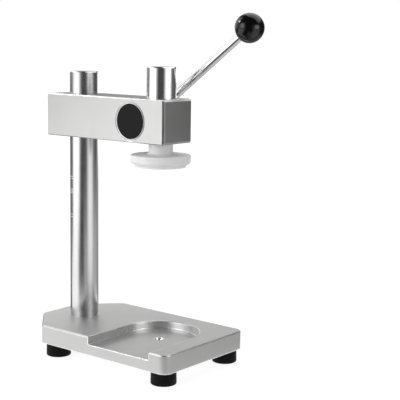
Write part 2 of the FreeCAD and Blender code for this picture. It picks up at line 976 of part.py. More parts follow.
def front_bush():
    """The flanged bush in the wall behind the spring."""
    start = Vector(pinion_x, chamber_floor, pinion_z)
    bore = front_journal_diameter / 2 + running_clearance
    profile = [
        (bore, static_clearance),
        (front_bush_diameter / 2, static_clearance),
        (front_bush_diameter / 2, chamber_wall),
        (front_bush_flange_diameter / 2, chamber_wall),
        (front_bush_flange_diameter / 2, chamber_wall + front_bush_flange),
        (bore, chamber_wall + front_bush_flange),
    ]
    return turned(profile, start, AXIS_Y)


def rear_bush():
    """The flanged bush that closes the pinion's chamber at the rear."""
    bore = rear_journal_diameter / 2 + running_clearance
    body = pinion_chamber_radius - static_clearance
    flange = rear_bush_flange_diameter / 2
    profile = [
        (bore, 0),
        (body, 0),
        (body, rear_bush_length),
        (flange, rear_bush_length),
        (flange, rear_bush_length + rear_bush_flange - cap_edge_break),
        (flange - cap_edge_break, rear_bush_length + rear_bush_flange),
        (bore, rear_bush_length + rear_bush_flange),
    ]
    bush = turned(profile, Vector(pinion_x, rear_bush_inner, pinion_z), AXIS_Y)
    ram_relief = cylinder(
        ram_diameter / 2 + running_clearance,
        arm_height,
        Vector(ram_x, 0, arm_bottom),
        AXIS_Z,
    )
    cutters = [ram_relief]
    for place in rear_screw_places(rear_bush_outer):
        cutters.append(rear_screw_shape(place, static_clearance))
    return bush.cut(cutters)


def rear_screw_shape(place, growth):
    """A countersunk screw flush with the rear bush, or its hole where growth is above zero."""
    shank = rear_screw_diameter / 2 + growth
    head = rear_screw_head_diameter / 2 + growth
    sink = (rear_screw_head_diameter - rear_screw_diameter) / 2
    profile = [
        (0, 0),
        (head, 0),
        (shank, sink),
        (shank, rear_screw_length),
        (0, rear_screw_length),
    ]
    return turned(profile, place, -AXIS_Y)


def rear_bush_screws():
    """The countersunk screws of the rear bush, each with a hexagon socket."""
    screws = []
    for place in rear_screw_places(rear_bush_outer):
        screw = rear_screw_shape(place, 0)
        socket = hex_prism(rear_screw_diameter * 0.66, rear_screw_diameter * 0.5, place, -AXIS_Y)
        screws.append(screw.cut(socket))
    return Part.makeCompound(screws)


def front_cap():
    """The black disc that closes the spring chamber, flush with the arm."""
    radius = chamber_diameter / 2 - static_clearance
    profile = [
        (0, 0),
        (radius - cap_edge_break, 0),
        (radius, cap_edge_break),
        (radius, cap_thickness),
        (0, cap_thickness),
    ]
    return turned(profile, Vector(pinion_x, arm_front, pinion_z), AXIS_Y)


def spring_arcs():
    """The strip's centre line as arcs (centre x, radius, start angle, end angle)."""
    arcs = [(spring_start - spring_tab_radius, spring_tab_radius, -90, 0)]
    side = spring_start
    for half_turn in range(spring_half_turns):
        upper = half_turn % 2 == 0
        if half_turn == spring_half_turns - 1:
            far = spring_anchor + spring_hook_radius
        else:
            far = abs(side) + spring_half_turn_step
        radius = (abs(side) + far) / 2
        if upper:
            centre = side - radius
            arcs.append((centre, radius, 0, 180))
            side = -far
        else:
            centre = side + radius
            arcs.append((centre, radius, 180, 360))
            side = far
    arcs.append((side + spring_hook_radius, spring_hook_radius, 180, 400))
    return arcs


def return_spring():
    """The flat spiral spring: a tab in the arbor's slot and a hook round the pin."""
    half = spring_strip / 2
    y = chamber_floor - face_gap - spring_width

    def at(centre, radius, degrees):
        angle = math.radians(degrees)
        return Vector(pinion_x + centre + radius * math.cos(angle), y, pinion_z + radius * math.sin(angle))

    def side_edges(offset):
        tab_z = pinion_z - spring_tab_radius - offset
        tab_start = Vector(pinion_x + spring_tab_end, y, tab_z)
        arcs = spring_arcs()
        centre, radius, first, _ = arcs[0]
        edges = [Part.LineSegment(tab_start, at(centre, radius + offset, first)).toShape()]
        for centre, radius, first, last in arcs:
            middle = (first + last) / 2
            edges.append(
                Part.Arc(
                    at(centre, radius + offset, first),
                    at(centre, radius + offset, middle),
                    at(centre, radius + offset, last),
                ).toShape()
            )
        return edges, tab_start, at(centre, radius + offset, last)

    outer, outer_start, outer_end = side_edges(half)
    inner, inner_start, inner_end = side_edges(-half)
    ends = [
        Part.LineSegment(outer_end, inner_end).toShape(),
        Part.LineSegment(inner_start, outer_start).toShape(),
    ]
    wire = Part.Wire(Part.__sortEdges__(outer + inner + ends))
    return Part.Face(wire).extrude(Vector(0, spring_width, 0))


def spring_pin():
    """The pin in the chamber floor that the spring hooks on to."""
    length = spring_pin_depth + face_gap + spring_width
    start = spring_pin_place() + AXIS_Y * spring_pin_depth
    return cylinder(spring_pin_diameter / 2, length, start, -AXIS_Y)


def lever_point(along, across):
    """A point of the lever's plane, along and across the rod's direction from the shaft."""
    x = pinion_x + along * lever_cos - across * lever_sin
    z = pinion_z + along * lever_sin + across * lever_cos
    return Vector(x, lever_y, z)


def lever_direction():
    """The rod's direction from the hub to the ball."""
    return Vector(lever_cos, 0, lever_sin)


def lever_hub():
    """The round hub, with the rod's hole beside the shaft and a set screw opposite."""
    radius = hub_diameter / 2
    profile = [
        (0, 0),
        (radius - hub_edge_break, 0),
        (radius, hub_edge_break),
        (radius, hub_thickness - hub_edge_break),
        (radius - hub_edge_break, hub_thickness),
        (0, hub_thickness),
    ]
    hub = turned(profile, Vector(pinion_x, hub_front, pinion_z), AXIS_Y)
    direction = lever_direction()
    cutters = [
        cylinder(
            hub_seat_diameter / 2 + static_clearance,
            hub_thickness + 2 * cut_overrun,
            Vector(pinion_x, hub_front - cut_overrun, pinion_z),
            AXIS_Y,
        ),
        cylinder(
            rod_root_diameter / 2 + static_clearance,
            hub_diameter,
            lever_point(rod_start, lever_offset),
            direction,
        ),
        cylinder(
            rod_spigot_diameter / 2 + static_clearance,
            rod_spigot_length + cut_overrun,
            lever_point(rod_start - rod_spigot_length - cut_overrun / 2, lever_offset),
            direction,
        ),
        cylinder(
            hub_set_screw_diameter / 2 + static_clearance,
            radius + cut_overrun,
            lever_point(0, 0),
            lever_point(0, -1) - lever_point(0, 0),
        ),
    ]
    return hub.cut(cutters)


def hub_set_screw():
    """The set screw that bites on the shaft, on the side away from the rod."""
    inner = hub_seat_diameter / 2 + static_clearance
    inward = lever_point(0, 1) - lever_point(0, 0)
    start = lever_point(0, -inner - hub_set_screw_length)
    return set_screw(hub_set_screw_diameter, hub_set_screw_length, start, inward)


def hub_end_washer():
    """The washer on the hub's rear face."""
    return washer(
        hub_end_washer_diameter,
        hub_end_screw_diameter + 2 * static_clearance,
        hub_end_washer_thickness,
        Vector(pinion_x, hub_rear, pinion_z),
        AXIS_Y,
    )


def hub_end_screw():
    """The screw in the shaft's end that keeps the hub on."""
    seat = Vector(pinion_x, hub_rear + hub_end_washer_thickness, pinion_z)
    return head_screw(
        hub_end_screw_diameter,
        hub_end_screw_grip,
        hub_end_screw_head_diameter,
        hub_end_screw_head_height,
        seat,
        -AXIS_Y,
    )


def lever_rod():
    """The tapered rod, with a spigot in the hub and a thread in the knob."""
    length = ball_reach - ball_flat_distance - static_clearance - rod_start
    profile = [
        (0, -rod_spigot_length),
        (rod_spigot_diameter / 2, -rod_spigot_length),
        (rod_spigot_diameter / 2, 0),
        (rod_root_diameter / 2, 0),
        (rod_tip_diameter / 2, length),
        (rod_thread_diameter / 2, length),
        (rod_thread_diameter / 2, length + rod_thread_length),
        (0, length + rod_thread_length),
    ]
    return turned(profile, lever_point(rod_start, lever_offset), lever_direction())


def ball_knob():
    """The ball, flat where it meets the rod, moulded round its insert."""
    radius = ball_diameter / 2
    room = insert_diameter / 2 + static_clearance
    hole = rod_thread_diameter / 2 + static_clearance
    flat_radius = math.sqrt(radius**2 - ball_flat_distance**2)
    flat = -ball_flat_distance
    insert_start = flat + insert_behind_flat
    insert_end = insert_start + insert_length
    arc = Part.Arc(Vector(0, 0, radius), Vector(radius, 0, 0), Vector(flat_radius, 0, flat))
    corners = [
        Vector(flat_radius, 0, flat),
        Vector(hole, 0, flat),
        Vector(hole, 0, insert_start),
        Vector(room, 0, insert_start),
        Vector(room, 0, insert_end),
        Vector(0, 0, insert_end),
        Vector(0, 0, radius),
    ]
    edges = [arc.toShape()] + Part.makePolygon(corners).Edges
    ball = Part.Face(Part.Wire(edges)).revolve(Vector(0, 0, 0), AXIS_Z, 360)
    turn = FreeCAD.Rotation(AXIS_Z, lever_direction())
    ball.Placement = FreeCAD.Placement(lever_point(ball_reach, lever_offset), turn)
    return ball


def knob_insert():
    """The threaded insert in the knob."""
    start = lever_point(ball_reach - ball_flat_distance + insert_behind_flat, lever_offset)
    bore = rod_thread_diameter / 2 + static_clearance
    bore_depth = rod_thread_length - insert_behind_flat + 2 * static_clearance
    profile = [
        (bore, static_clearance),
        (insert_diameter / 2, static_clearance),
        (insert_diameter / 2, insert_length - static_clearance),
        (0, insert_length - static_clearance),
        (0, bore_depth),
        (bore, bore_depth),
    ]
    return turned(profile, start, lever_direction())


def main():
    """Build every piece and write one STEP file for each."""
    pieces = {
        "base_plate": base_plate(),
        "foot_washers": foot_washers(),
        "foot_screws": foot_screws(),
        "column": column(),
        "column_washer": column_washer(),
        "column_bolt": column_bolt(),
        "arm_block": arm_block(),
        "clamp_pads": clamp_pads(),
        "clamp_screws": clamp_screws(),
        "ram": ram(),
        "guide_screw": guide_screw(),
        "press_head": press_head(),
        "press_head_washer": press_head_washer(),
        "press_head_screw": press_head_screw(),
        "pinion_shaft": pinion_shaft(),
        "front_bush": front_bush(),
        "rear_bush": rear_bush(),
        "rear_bush_screws": rear_bush_screws(),
        "front_cap": front_cap(),
        "return_spring": return_spring(),
        "spring_pin": spring_pin(),
        "lever_hub": lever_hub(),
        "hub_set_screw": hub_set_screw(),
        "hub_end_washer": hub_end_washer(),
        "hub_end_screw": hub_end_screw(),
        "lever_rod": lever_rod(),
        "ball_knob": ball_knob(),
        "knob_insert": knob_insert(),
    }
    for name, place in foot_places().items():
        pieces[name] = foot(place)
    os.makedirs("parts", exist_ok=True)
    for name, shape in pieces.items():
        if not shape.isValid():
            print("not valid:", name)
        print(name, "solids", len(shape.Solids), "volume", round(shape.Volume, 1))
        shape.exportStep("parts/" + name + ".step")
    print("ram travel", round(ram_travel, 3), "column x", round(column_x, 3))
    print("ram x", round(ram_x, 3), "pinion x", round(pinion_x, 3), "pinion z", round(pinion_z, 3))


main()
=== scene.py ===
"""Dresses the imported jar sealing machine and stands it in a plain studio.

The machine is a footed plate, a round column, a square arm that slides on the column, a
toothed ram with a soft press head, and a lever with a ball knob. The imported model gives
every place. This script gives the finishes, makes the turned and moulded pieces finer, and
sets the floor, the lamps and the camera.

Sizes are in metres and angles in degrees, unless a line says otherwise. Bearings run from
+X towards +Y, and elevations up from level.
"""
import logging
import math
from abc import ABC, abstractmethod
from collections.abc import Callable, Sequence
from dataclasses import asdict, dataclass
from enum import Enum
from functools import cache, reduce
from typing import ClassVar

import bpy
import numpy as np
from mathutils import Matrix, Vector


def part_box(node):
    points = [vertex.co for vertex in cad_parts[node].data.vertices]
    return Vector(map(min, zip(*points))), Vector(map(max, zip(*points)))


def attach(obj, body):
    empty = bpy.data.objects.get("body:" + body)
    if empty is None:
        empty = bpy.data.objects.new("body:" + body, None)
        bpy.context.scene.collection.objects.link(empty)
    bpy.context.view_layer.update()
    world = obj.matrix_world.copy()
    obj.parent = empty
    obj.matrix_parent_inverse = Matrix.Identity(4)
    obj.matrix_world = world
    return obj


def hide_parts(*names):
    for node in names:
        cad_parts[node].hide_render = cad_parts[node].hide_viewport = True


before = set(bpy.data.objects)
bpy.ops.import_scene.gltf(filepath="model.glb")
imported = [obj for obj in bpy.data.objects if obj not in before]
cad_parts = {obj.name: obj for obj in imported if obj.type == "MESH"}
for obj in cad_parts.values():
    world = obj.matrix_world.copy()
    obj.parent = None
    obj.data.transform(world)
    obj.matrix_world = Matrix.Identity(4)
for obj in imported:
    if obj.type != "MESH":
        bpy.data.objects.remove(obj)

MM = 0.001
PICTURE_SIDE = 400
ARC_POINTS = 7
SHARP_ABOVE = math.radians(40.0)
ORIGIN = (0.0, 0.0, 0.0)
UP = (0.0, 0.0, 1.0)
CROSSWISE = (0.0, 1.0, 0.0)
# The palest metal, which edges pale towards where worn and as a painted highlight along them
WHITEST_METAL = 0.98
LEVER_ANGLE = math.radians(36.5)
EDGE_SAMPLES = 10
NOISE_ROUGHNESS = 0.55
DRIFT_PART = 0.02
LOG = logging.getLogger("jar_sealing_machine")

# Waves to a metre of the noises in the shared effects and on the floor
WEAR_WAVES = 600.0
CLOUD_WAVES = 38.0
STREAK_WAVES = (300.0, 300.0, 45.0)
SPECK_WAVES = 2600.0
FILM_WAVES = 60.0
FLOOR_WAVES = 30.0

Triple = tuple[float, float, float]
Colour = tuple[float, float, float, float]
Profile = Sequence[tuple[float, float]]
Surface = tuple[np.ndarray, list[list[int]]]
Socket = bpy.types.NodeSocket
Sockets = tuple[Socket, ...]
Tree = bpy.types.NodeTree


# Surfaces


@dataclass(frozen=True)
class Axis:
    """A line that a profile is turned about.

    Attributes:
        origin: The point on the line where distances along it start.
        along: The line's direction.
    """

    origin: Triple
    along: Triple

    def directions(self) -> np.ndarray:
        """Finds two directions across the line and the line's own, as three rows."""
        line = np.array(self.along) / np.linalg.norm(self.along)
        helper = np.array([1.0, 0.0, 0.0]) if abs(line[0]) < 0.9 else np.array(CROSSWISE)
        first = np.cross(helper, line)
        first /= np.linalg.norm(first)
        return np.array([first, np.cross(line, first), line])


class NodeBox:
    """The box round a CAD node at rest."""

    def __init__(self, node: str) -> None:
        """Reads the box of this node."""
        self.low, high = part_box(node)
        self.size = high - self.low
        self.middle = (self.low + high) / 2.0
        self.radius = self.size.x / 2.0

    def at_height(self, height: float) -> Triple:
        """Gives the point at this height that is over or under the middle."""
        return (self.middle.x, self.middle.y, height)


def unit_rows(rows: np.ndarray) -> np.ndarray:
    """Divides each row by its length."""
    return rows / np.linalg.norm(rows, axis=1, keepdims=True)


def rounded(profile: Profile, roundings: Sequence[float], closed: bool) -> np.ndarray:
    """Rounds the corners of a profile.

    The arc at a corner has its centre on the corner's bisector, at the radius over the sine
    of half the corner's angle. Its points turn evenly from one touching point to the other.
    Each is the two touching points, seen from the centre and weighted by the sines of the
    turns from the point to the other one, over the sine of the whole turn.

    Args:
        profile: Corners as (across, along) pairs.
        roundings: One radius to a corner, in millimetres. An open profile keeps its two ends.
        closed: Whether the last corner joins the first.

    Returns:
        The rounded profile as (across, along) rows.
    """
    corners = np.array(profile)
    before = unit_rows(np.roll(corners, 1, axis=0) - corners)
    after = unit_rows(np.roll(corners, -1, axis=0) - corners)
    half = np.arccos(np.clip((before * after).sum(axis=1), -1.0, 1.0)) / 2.0
    radii = np.array(roundings) * MM
    centres = corners + unit_rows(before + after) * (radii / np.sin(half))[:, None]
    reach = (radii / np.tan(half))[:, None]
    start = (corners + before * reach - centres)[:, None, :]
    end = (corners + after * reach - centres)[:, None, :]
    sweep = (math.pi - 2.0 * half)[:, None]
    share = np.linspace(0.0, 1.0, ARC_POINTS)[None, :]
    from_start = (np.sin((1.0 - share) * sweep) / np.sin(sweep))[:, :, None]
    from_end = (np.sin(share * sweep) / np.sin(sweep))[:, :, None]
    arcs = centres[:, None, :] + from_start * start + from_end * end
    if closed:
        return arcs.reshape(-1, 2)
    return np.vstack([corners[:1], arcs[1:-1].reshape(-1, 2), corners[-1:]])


def grid_faces(rows: int, columns: int, wrap_rows: bool) -> np.ndarray:
    """Numbers the four-sided faces of a grid whose columns join round.

    Args:
        rows: Points along the profile.
        columns: Points round the axis.
        wrap_rows: Whether the last row joins the first.

    Returns:
        One row of four vertex numbers to a face, facing outwards.
    """
    row = np.arange(rows if wrap_rows else rows - 1)[:, None] * columns
    column = np.arange(columns)[None, :]
    next_row = (row + columns) % (rows * columns)
    next_column = (column + 1) % columns
    corners = [row + column, row + next_column, next_row + next_column, next_row + column]
    return np.stack(corners, axis=-1).reshape(-1, 4)


def ring_points(profile: np.ndarray, axis: Axis, columns: int) -> np.ndarray:
    """Carries a profile round an axis.

    A point is the axis's origin, plus the profile's along value times the axis, plus its
    across value times the cosine and sine of the turn on the two directions across it.

    Args:
        profile: The (across, along) rows.
        axis: The line to turn about.
        columns: Points round the axis.

    Returns:
        Points, one to a row, profile point by profile point.
    """
    first, second, line = axis.directions()
    turn = np.linspace(0.0, 2.0 * math.pi, columns, endpoint=False)[None, :, None]
    out = np.cos(turn) * first + np.sin(turn) * second
    points = profile[:, 0, None, None] * out + profile[:, 1, None, None] * line
    return (points + np.array(axis.origin)).reshape(-1, 3)


def turned_ring(profile: np.ndarray, axis: Axis, columns: int = 96) -> Surface:
    """Turns a closed profile that stays clear of the axis, as ring_points describes."""
    return ring_points(profile, axis, columns), grid_faces(len(profile), columns, True).tolist()


def fan(pole: int, rim: int, columns: int, downwards: bool) -> list[list[int]]:
    """Numbers the triangles between a pole and the rim round it.

    Args:
        pole: The pole's vertex number.
        rim: The number of the rim's first vertex.
        columns: Points on the rim.
        downwards: Whether the triangles face against the axis.

    Returns:
        One list of three vertex numbers to a triangle.
    """
    column = np.arange(columns)
    here, following = rim + column, rim + (column + 1) % columns
    first, second = (following, here) if downwards else (here, following)
    return np.stack([np.full(columns, pole), first, second], axis=1).tolist()


def turned_solid(profile: np.ndarray, axis: Axis, columns: int = 96) -> Surface:
    """Turns a profile whose two ends lie on the axis, as ring_points describes.

    The two ends become single points, each with a fan of triangles, so the poles are shut.

    Args:
        profile: The open (across, along) rows.
        axis: The line to turn about.
        columns: Points round the axis.

    Returns:
        Points and faces.
    """
    rings = ring_points(profile[1:-1], axis, columns)
    poles = np.array(axis.origin) + profile[[0, -1], 1][:, None] * axis.directions()[2]
    faces = grid_faces(len(profile) - 2, columns, False).tolist()
    faces += fan(len(rings), 0, columns, True)
    faces += fan(len(rings) + 1, len(rings) - columns, columns, False)
    return np.vstack([rings, poles]), faces


def placed(name: str, data: bpy.types.ID) -> bpy.types.Object:
    """Makes an object of this data and puts it in the scene."""
    made = bpy.data.objects.new(name, data)
    bpy.context.scene.collection.objects.link(made)
    return made


def mesh_object(name: str, surface: Surface, material: bpy.types.Material) -> bpy.types.Object:
    """Makes an object from a surface.

    Args:
        name: The object's name.
        surface: Points and faces.
        material: What it wears.

    Returns:
        The object, at the origin.
    """
    points, faces = surface
    mesh = bpy.data.meshes.new(name)
    mesh.from_pydata(points.tolist(), [], faces)
    mesh.polygons.foreach_set("use_smooth", np.ones(len(mesh.polygons), dtype=bool))
    mesh.set_sharp_from_angle(angle=SHARP_ABOVE)
    mesh.update()
    mesh.materials.append(material)
    return placed(name, mesh)


# Nodes


class Sheet:
    """A node tree with short calls that add nodes and join them.

    A value in a call is a number, a colour or a vector, or the output of another node.
    """

    def __init__(self, tree: Tree) -> None:
        """Keeps the tree that the calls add to."""
        self.tree = tree

    def feed(self, socket: Socket, value: object) -> None:
        """Joins an input to another node's output, or sets its plain value."""
        if isinstance(value, Socket):
            self.tree.links.new(value, socket)
        else:
            socket.default_value = value

    def node(self, kind: str, inputs: dict | None = None, **settings: object) -> bpy.types.Node:
        """Adds a node.

        Args:
            kind: Blender's name for the type of node.
            inputs: Values for its inputs, by name or number.
            **settings: The node's own properties.

        Returns:
            The node.
        """
        made = self.tree.nodes.new(kind)
        for name, value in settings.items():
            setattr(made, name, value)
        for key, value in (inputs or {}).items():
            self.feed(made.inputs[key], value)
        return made

    def maths(self, operation: str, *values: object, clamp: bool = False) -> Socket:
        """Adds a Math node that does this sum, and gives its result."""
        made = self.node("ShaderNodeMath", dict(enumerate(values)), operation=operation, use_clamp=clamp)
        return made.outputs[0]

    def product(self, *values: object) -> Socket:
        """Multiplies two or more numbers."""
        return reduce(lambda first, second: self.maths("MULTIPLY", first, second), values)

    def most(self, *values: object) -> Socket:
        """Picks the greatest of two or more numbers."""
        return reduce(lambda first, second: self.maths("MAXIMUM", first, second), values)

    def gap(self, first: object, second: object) -> Socket:
        """Finds how far two numbers lie apart."""
        return self.maths("ABSOLUTE", self.maths("SUBTRACT", first, second))

    def vectors(self, operation: str, *values: object) -> Socket:
        """Adds a Vector Math node, and gives its result, a number for a length or a dot product."""
        made = self.node("ShaderNodeVectorMath", dict(enumerate(values)), operation=operation)
        return made.outputs["Value" if operation in ("LENGTH", "DOT_PRODUCT") else "Vector"]

    def parts(self, vector: object) -> Sequence[Socket]:
        """Splits a vector into its three numbers."""
        return self.node("ShaderNodeSeparateXYZ", {0: vector}).outputs

    def place(self) -> Socket:
        """Gives the object's own coordinates."""
        return self.node("ShaderNodeTexCoord").outputs["Object"]

    def facing(self) -> Socket:
        """Gives the surface's direction."""
        return self.node("ShaderNodeNewGeometry").outputs["Normal"]

    def ramp(self, value: object, low: float, high: float, first: float, last: float) -> Socket:
        """Carries a value smoothly from the range low, high to the range first, last, and no further."""
        numbers = {0: value, 1: low, 2: high, 3: first, 4: last}
        return self.node("ShaderNodeMapRange", numbers, interpolation_type="SMOOTHSTEP").outputs[0]

    def noise(self, vector: object, scale: object, detail: float, dimensions: str = "3D") -> Socket:
        """Gives noise about 0.5 with this many waves to a metre and this many finer layers."""
        numbers = {"Vector": vector, "Scale": scale, "Detail": detail, "Roughness": NOISE_ROUGHNESS}
        return self.node("ShaderNodeTexNoise", numbers, noise_dimensions=dimensions).outputs[0]

    def colours(self, share: object, first: object, second: object, blend: str = "MIX") -> Socket:
        """Mixes two colours in this way, with this share of the second."""
        made = self.node("ShaderNodeMix", {0: share, 6: first, 7: second}, data_type="RGBA", blend_type=blend)
        return made.outputs[2]

    def effect(self, tree: Tree, **inputs: object) -> Sequence[Socket]:
        """Places a shared effect, its inputs named with underscores, and gives its outputs."""
        named = {name.replace("_", " ").title(): value for name, value in inputs.items()}
        return self.node("ShaderNodeGroup", named, node_tree=tree).outputs

    def mixed_shader(self, share: object, first: bpy.types.Node, second: bpy.types.Node) -> bpy.types.Node:
        """Mixes two shaders, with this share of the second."""
        return self.node("ShaderNodeMixShader", {0: share, 1: first.outputs[0], 2: second.outputs[0]})


def even(value: float) -> Triple:
    """Gives three equal numbers."""
    return (value, value, value)


def grey(value: float) -> Colour:
    """Gives a neutral colour of this brightness."""
    return (*even(value), 1.0)


def material_sheet(name: str) -> tuple[bpy.types.Material, Sheet]:
    """Makes a material, and its empty sheet."""
    material = bpy.data.materials.new(name)
    return material, clean_sheet(material)


def clean_sheet(owner: bpy.types.Material | bpy.types.World) -> Sheet:
    """Gives a material or a world a node tree, and empties it."""
    owner.use_nodes = True
    owner.node_tree.nodes.clear()
    return Sheet(owner.node_tree)


def shared_effect(name: str, inputs: dict[str, str], outputs: dict[str, str]) -> Callable:
    """Turns a recipe into a function that builds its node group once and then gives it again.

    Args:
        name: The group's name.
        inputs: Socket kinds by input name.
        outputs: Socket kinds by output name, in the recipe's order.

    Returns:
        What wraps the recipe, a function of the group's sheet and inputs that gives its outputs.
    """

    def wrap(recipe: Callable[..., Sockets]) -> Callable[[], Tree]:
        """Wraps one recipe."""

        @cache
        def build() -> Tree:
            """Builds the group."""
            tree = bpy.data.node_groups.new(name, "ShaderNodeTree")
            for side, kinds in (("INPUT", inputs), ("OUTPUT", outputs)):
                for label, kind in kinds.items():
                    tree.interface.new_socket(label, in_out=side, socket_type=f"NodeSocket{kind}")
            sheet = Sheet(tree)
            taken = sheet.node("NodeGroupInput").outputs
            results = recipe(sheet, *(taken[label] for label in inputs))
            sheet.node("NodeGroupOutput", dict(zip(outputs, results)))
            return tree

        return build

    return wrap


@shared_effect(
    "surface_grain", {"Vector": "Vector", "Grains Per Metre": "Float"}, {"Height": "Float", "Drift": "Float"}
)
def grain_effect(sheet: Sheet, place: Socket, rate: Socket) -> Sockets:
    """Makes a blasted, moulded or ground surface's height and slow drift of shade, about 0.5."""
    return sheet.noise(place, rate, 2.0), sheet.noise(place, sheet.product(rate, DRIFT_PART), 3.0)


@shared_effect(
    "lathe_lines",
    {"Vector": "Vector", "Centre": "Vector", "Axis": "Vector", "Lines Per Metre": "Float"},
    {"Height": "Float"},
)
def lathe_lines_effect(sheet: Sheet, place: Socket, centre: Socket, axis: Socket, rate: Socket) -> Sockets:
    """Makes the height, about 0.5, of the fine rings that turning or grinding leaves.

    It is a noise of two numbers: the distance from the axis and the distance along it.

    Args:
        sheet: The group's sheet.
        place: The object's coordinates.
        centre: A point on the axis.
        axis: The axis's direction.
        rate: Lines to a metre.

    Returns:
        The height.
    """
    offset = sheet.vectors("SUBTRACT", place, centre)
    along = sheet.vectors("DOT_PRODUCT", offset, axis)
    across = sheet.vectors("SUBTRACT", offset, sheet.vectors("MULTIPLY", axis, along))
    radius = sheet.vectors("LENGTH", across)
    pair = sheet.node("ShaderNodeCombineXYZ", {0: radius, 1: along}).outputs[0]
    return (sheet.noise(pair, rate, 2.0, "2D"),)


@shared_effect("edge_wear", {"Vector": "Vector", "Radius": "Float"}, {"Mask": "Float", "Normal": "Vector"})
def edge_wear_and_highlight_effect(sheet: Sheet, place: Socket, radius: Socket) -> Sockets:
    """Makes the mask and the direction of a softened edge, whose mask pales the colour where the edge is worn
    and as a painted highlight along it.

    The mask is how far the surface's own direction lies from the direction of the edge when
    it is rounded, broken up by a noise.

    Args:
        sheet: The group's sheet.
        place: The object's coordinates.
        radius: How far the edge is rounded.

    Returns:
        The mask and the rounded direction.
    """
    round_edge = sheet.node("ShaderNodeBevel", {"Radius": radius}, samples=EDGE_SAMPLES).outputs[0]
    facing = sheet.facing()
    turned_away = sheet.maths("SUBTRACT", 1.0, sheet.vectors("DOT_PRODUCT", round_edge, facing))
    edge = sheet.ramp(turned_away, 0.008, 0.05, 0.0, 1.0)
    broken = sheet.ramp(sheet.noise(place, WEAR_WAVES, 3.0), 0.35, 0.65, 0.85, 1.0)
    softened = sheet.node("ShaderNodeMix", {0: edge, 4: facing, 5: round_edge}, data_type="VECTOR").outputs[1]
    return sheet.product(edge, broken), sheet.vectors("NORMALIZE", softened)


@shared_effect("handling_marks", {"Vector": "Vector"}, {"Mask": "Float"})
def handling_effect(sheet: Sheet, place: Socket) -> Sockets:
    """Makes the mask of the faint cloudy marks that wiping and fingers leave."""
    clouds = sheet.ramp(sheet.noise(place, CLOUD_WAVES, 4.0), 0.4, 0.7, 0.0, 1.0)
    streaked = sheet.vectors("MULTIPLY", place, STREAK_WAVES)
    fine = sheet.ramp(sheet.noise(streaked, 1.0, 3.0), 0.3, 0.7, 0.3, 1.0)
    return (sheet.product(clouds, fine),)


@shared_effect("settled_dust", {"Vector": "Vector"}, {"Mask": "Float"})
def dust_effect(sheet: Sheet, place: Socket) -> Sockets:
    """Makes the mask of the light dust that settles on dark surfaces that face up."""
    upward = sheet.ramp(sheet.vectors("DOT_PRODUCT", sheet.facing(), UP), 0.1, 0.9, 0.15, 1.0)
    specks = sheet.ramp(sheet.noise(place, SPECK_WAVES, 2.0), 0.62, 0.78, 0.0, 1.0)
    film = sheet.ramp(sheet.noise(place, FILM_WAVES, 3.0), 0.35, 0.75, 0.1, 0.45)
    return (sheet.product(sheet.most(specks, film), upward),)


# Finishes


class Lay(Enum):
    """The axis that tool marks run round."""

    UPRIGHT = UP
    CROSSWISE = CROSSWISE
    LEVER = (math.cos(LEVER_ANGLE), 0.0, math.sin(LEVER_ANGLE))


@dataclass
class Look:
    """What feeds a material's shader, while it is put together.

    Attributes:
        sheet: The material's nodes.
        place: The object's coordinates.
        colour: The colour.
        roughness: The roughness.
        height: The height of the fine relief.
        normal: The surface's direction, or None for the mesh's own.
    """

    sheet: Sheet
    place: Socket
    colour: Socket
    roughness: Socket
    height: Socket
    normal: Socket | None = None


